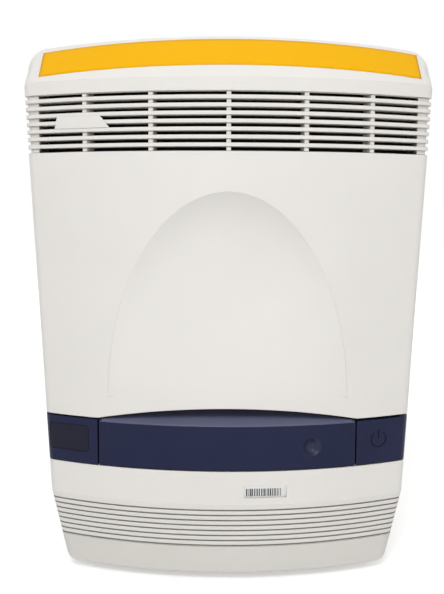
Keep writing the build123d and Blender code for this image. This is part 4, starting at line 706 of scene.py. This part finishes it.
@dataclass
class BareTag:
    """The small white tag on the lower band, with plain stripes that stand for nothing."""

    left: float = 0.0134
    right: float = 0.0487
    low: float = 0.0755
    high: float = 0.0857
    lift: float = 0.00025
    film: float = 0.0002
    ink_lift: float = 0.00008
    ink: float = 0.00005
    side_margin: float = 0.0012
    low_margin: float = 0.0016
    high_margin: float = 0.0024
    thin: float = 0.0004
    thick: float = 0.0011
    draws: int = 40

    def patch(self, x: np.ndarray, z: np.ndarray, lift: float) -> np.ndarray:
        """Lay points on the front's cylinder, a lift outside it.

        Args:
            x: Places to the right.
            z: Heights.
            lift: Distance outside the front.

        Returns:
            The points, with one more axis of 3.
        """
        normal = x / FRONT_RADIUS
        y = AXIS_Y - np.sqrt(FRONT_RADIUS**2 - x**2) - lift
        return np.stack([x + normal * lift, y, z], axis=-1)

    def build(self) -> None:
        """Lay the tag on the front's cylinder, and stripes of seeded widths and gaps on the tag."""
        u = np.linspace(self.left, self.right, 17)[None, :]
        v = np.linspace(self.low, self.high, 5)[:, None]
        points = self.patch(u + 0.0 * v, v + 0.0 * u, self.lift)
        grid_piece("bare_tag", points, Finish.label_white, "housing", self.film)
        rng = np.random.default_rng(7)
        widths = rng.uniform(self.thin, self.thick, self.draws).cumsum()
        room = self.right - self.left - 2.0 * self.side_margin
        edges = self.left + self.side_margin + widths[widths < room]
        v = np.array([self.low + self.low_margin, self.high - self.high_margin])[:, None]
        for number in range(0, len(edges) - 1, 2):
            pair = edges[number : number + 2][None, :]
            stripe = self.patch(pair + 0.0 * v, v + 0.0 * pair, self.lift + self.ink_lift)
            name = f"tag_stripe_{number // 2:02d}"
            grid_piece(name, stripe, Finish.ink_grey, "housing", self.ink)


@dataclass
class InletBlades:
    """The tinned blades in the mains inlet, over the plain ones of its body."""

    places: tuple[tuple[float, float], ...] = ((0.101, 0.0505), (0.108, 0.0545), (0.115, 0.0505))
    half_width: float = 0.00112
    half_height: float = 0.00212
    root_y: float = 0.2032
    tip_y: float = 0.2153
    corner: float = 0.4
    along: tuple[float, ...] = (0.0, 0.0, 0.5, 0.93, 0.97, 0.995, 1.0)
    share: tuple[float, ...] = (0.0, 1.0, 1.0, 1.0, 0.92, 0.7, 0.0)

    def build(self) -> None:
        """Carry a rounded oblong along each blade, closed at its root and drawn in at its tip.

        Over an angle t the oblong is the superellipse x = a * sign(cos t) * |cos t|^corner and
        z = b * sign(sin t) * |sin t|^corner, scaled by the share of its size that goes with each
        place along the blade.
        """
        t = np.linspace(2.0 * math.pi, 0.0, 33)[None, :]
        share = np.array(self.share)[:, None]
        along = np.array(self.along)[:, None]
        across = np.sign(np.cos(t)) * np.abs(np.cos(t)) ** self.corner * share * self.half_width
        up = np.sign(np.sin(t)) * np.abs(np.sin(t)) ** self.corner * share * self.half_height
        y = self.root_y + (self.tip_y - self.root_y) * along + 0.0 * t
        for number, (x, z) in enumerate(self.places):
            points = np.stack([x + across, y, z + up], axis=-1)
            name = f"inlet_blade_{number}"
            grid_piece(name, points, Finish.block_silver, "housing")


@dataclass
class PowerMark:
    """The power symbol on the button: an open ring and a bar in a darker blue than the button."""

    x: float = 0.1268
    z: float = 0.1185
    radius: float = 0.0065
    line: float = 0.0009
    opening: float = 0.62
    bar_low: float = 0.1
    bar_high: float = 1.25
    lift: float = 0.00025
    film: float = 0.0001
    near: float = 0.03

    def on_face(self, across: np.ndarray, up: np.ndarray) -> np.ndarray:
        """Lay points on the bowed front of the button.

        A point at across and up from the symbol's middle lies where the front's cylinder, seen
        along Y, passes through it, a lift outside the button's own face.

        Args:
            across: Distances to the right.
            up: Distances upwards.

        Returns:
            The points, with one more axis of 3.
        """
        x = self.x + across
        z = self.z + up
        low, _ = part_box("power_button")
        y = self.face_y(x)
        return np.stack([x, np.maximum(y, low[1]) - self.lift, z], axis=-1)

    def face_y(self, x: np.ndarray) -> np.ndarray:
        """Give the Y of the front's cylinder at x, set back as the band is at this height."""
        return AXIS_Y + self.set_back() - np.sqrt(FRONT_RADIUS**2 - x**2)

    def set_back(self) -> float:
        """Measure how far the button's face lies behind the full front, near the symbol."""
        mesh = frame["nodes"]["power_button"].data
        points = np.empty(len(mesh.vertices) * 3, np.float32)
        mesh.vertices.foreach_get("co", points)
        points = points.reshape(-1, 3)
        near = points[np.abs(points[:, 2] - self.z) < self.near]
        backs = near[:, 1] - (AXIS_Y - np.sqrt(FRONT_RADIUS**2 - near[:, 0] ** 2))
        return float(backs.min())

    def build(self) -> None:
        """Lay the ring and the bar.

        The ring runs over an angle t from the opening's one side to the other, at two radii half a
        line inside and outside its own. The bar is a strip from over the ring's middle to past its
        opening, at bar_low and bar_high times the ring's radius.
        """
        t = np.linspace(self.opening, 2 * math.pi - self.opening, 49)[None, :]
        r = np.array([self.radius - self.line / 2, self.radius + self.line / 2])[:, None]
        ring = self.on_face(r * np.sin(t), r * np.cos(t))
        grid_piece("power_ring", ring, Finish.mark_blue, "power_button", self.film)
        across = np.array([-0.5, 0.5])[None, :] * self.line + np.zeros((5, 1))
        up = np.linspace(self.bar_low, self.bar_high, 5)[:, None] * self.radius + np.zeros((1, 2))
        bar = self.on_face(across, up)
        grid_piece("power_bar", bar, Finish.mark_blue, "power_button", self.film)


@dataclass
class Studio:
    """Floor, lights and camera."""

    camera_place: tuple[float, float, float] = (-0.006335, -0.930719, 0.311573)
    pitch: float = 0.101261
    yaw: float = -0.0022
    roll: float = 0.004139
    lens: float = 54.135
    floor_half: float = 6.0
    ambient: float = 0.38
    glow_near: float = 0.42
    glow_far: float = 0.7
    glow_start: float = 0.35
    glow_end: float = 0.9

    def build(self) -> None:
        """Make all of the studio."""
        self.world()
        self.floor()
        self.lamps()
        self.camera()

    def seen(self, tree: bpy.types.NodeTree) -> bpy.types.NodeSocket:
        """Give 1 for rays from the camera and in gloss and glass, and 0 for the light's own.

        Args:
            tree: The node tree that gets the nodes.

        Returns:
            The number's output.
        """
        rays = tree.nodes.new("ShaderNodeLightPath")
        total = rays.outputs["Is Camera Ray"]
        for name in ("Is Glossy Ray", "Is Transmission Ray"):
            pick = tree.nodes.new("ShaderNodeMath")
            pick.operation = "MAXIMUM"
            tree.links.new(total, pick.inputs[0])
            tree.links.new(rays.outputs[name], pick.inputs[1])
            total = pick.outputs[0]
        return total

    def world(self) -> None:
        """Light the scene from all round, and show white where the camera sees past the floor."""
        world = bpy.data.worlds.new("studio")
        bpy.context.scene.world = world
        world.use_nodes = True
        tree = world.node_tree
        light = tree.nodes["Background"]
        light.inputs["Color"].default_value = (1.0, 1.0, 1.0, 1.0)
        light.inputs["Strength"].default_value = self.ambient
        shown = tree.nodes.new("ShaderNodeBackground")
        shown.inputs["Color"].default_value = (1.0, 1.0, 1.0, 1.0)
        shown.inputs["Strength"].default_value = 1.0
        mix = tree.nodes.new("ShaderNodeMixShader")
        tree.links.new(self.seen(tree), mix.inputs["Fac"])
        tree.links.new(light.outputs[0], mix.inputs[1])
        tree.links.new(shown.outputs[0], mix.inputs[2])
        tree.links.new(mix.outputs[0], tree.nodes["World Output"].inputs["Surface"])

    def floor(self) -> None:
        """Lay a flat pale floor that shows white where no shadow falls."""
        half = self.floor_half
        mesh = bpy.data.meshes.new("floor")
        corners = [(-half, -half, 0.0), (half, -half, 0.0), (half, half, 0.0), (-half, half, 0.0)]
        mesh.from_pydata(corners, [], [(0, 1, 2, 3)])
        floor = bpy.data.objects.new("floor", mesh)
        bpy.context.scene.collection.objects.link(floor)
        material = bpy.data.materials.new("floor_pale")
        material.use_nodes = True
        tree = material.node_tree
        plain = tree.nodes["Principled BSDF"]
        plain.inputs["Base Color"].default_value = (0.8, 0.8, 0.8, 1.0)
        plain.inputs["Roughness"].default_value = 0.9
        plain.inputs["Specular IOR Level"].default_value = 0.0
        lit = tree.nodes.new("ShaderNodeBsdfDiffuse")
        lit.inputs["Color"].default_value = (0.95, 0.95, 0.95, 1.0)
        glow = tree.nodes.new("ShaderNodeEmission")
        coords = tree.nodes.new("ShaderNodeTexCoord")
        length = tree.nodes.new("ShaderNodeVectorMath")
        length.operation = "LENGTH"
        reach = tree.nodes.new("ShaderNodeMapRange")
        reach.inputs["From Min"].default_value = self.glow_start
        reach.inputs["From Max"].default_value = self.glow_end
        reach.inputs["To Min"].default_value = self.glow_near
        reach.inputs["To Max"].default_value = self.glow_far
        tree.links.new(coords.outputs["Object"], length.inputs[0])
        tree.links.new(length.outputs["Value"], reach.inputs["Value"])
        tree.links.new(reach.outputs["Result"], glow.inputs["Strength"])
        both = tree.nodes.new("ShaderNodeAddShader")
        mix = tree.nodes.new("ShaderNodeMixShader")
        tree.links.new(lit.outputs[0], both.inputs[0])
        tree.links.new(glow.outputs[0], both.inputs[1])
        tree.links.new(self.seen(tree), mix.inputs["Fac"])
        tree.links.new(plain.outputs[0], mix.inputs[1])
        tree.links.new(both.outputs[0], mix.inputs[2])
        tree.links.new(mix.outputs[0], tree.nodes["Material Output"].inputs["Surface"])
        mesh.materials.append(material)

    def lamp(self, name: str, place: tuple[float, float, float], size: float, watts: float) -> None:
        """Hang a square soft light that faces the middle of the instrument.

        Args:
            name: Name of the light.
            place: Where its middle is.
            size: Length of its side.
            watts: Its power.
        """
        data = bpy.data.lights.new(name, "AREA")
        data.size = size
        data.energy = watts
        lamp = bpy.data.objects.new(name, data)
        bpy.context.scene.collection.objects.link(lamp)
        away = np.array(place) - np.array([0.0, 0.0, 0.25])
        turn = math.atan2(away[1], away[0]) + math.pi / 2
        tilt = math.atan2(math.hypot(away[0], away[1]), away[2])
        aim = Matrix.Rotation(turn, 4, "Z") @ Matrix.Rotation(tilt, 4, "X")
        lamp.matrix_world = Matrix.Translation(place) @ aim

    def lamps(self) -> None:
        """Hang a broad key from above the front, and softer fills from the sides and the back."""
        self.lamp("key", (-0.35, -2.2, 2.0), 0.9, 34.0)
        self.lamp("fill", (1.7, -1.6, 1.3), 1.6, 5.0)
        self.lamp("top", (0.0, 0.3, 2.4), 1.4, 2.5)
        self.lamp("back", (0.3, 2.2, 1.2), 1.6, 8.0)

    def camera(self) -> None:
        """Set the camera where the photograph's edges put it."""
        data = bpy.data.cameras.new("camera")
        data.sensor_fit = "VERTICAL"
        data.sensor_height = 36.0
        data.lens = self.lens
        camera = bpy.data.objects.new("camera", data)
        bpy.context.scene.collection.objects.link(camera)
        camera.matrix_world = (
            Matrix.Translation(self.camera_place)
            @ Matrix.Rotation(self.yaw, 4, "Z")
            @ Matrix.Rotation(math.pi / 2 - self.pitch, 4, "X")
            @ Matrix.Rotation(self.roll, 4, "Z")
        )
        bpy.context.scene.camera = camera


def main() -> None:
    """Dress the nodes, build the pieces and the studio."""
    logging.basicConfig(level=logging.INFO, format="%(name)s %(message)s")
    bpy.context.scene.view_settings.view_transform = "Standard"
    Dressing().dress()
    Brow().build()
    Scoop().build()
    LedgeSheenFace().build()
    Dimple().build()
    ShadeScreen().build()
    BareTag().build()
    InletBlades().build()
    PowerMark().build()
    Studio().build()


if __name__ == "__main__":
    main()
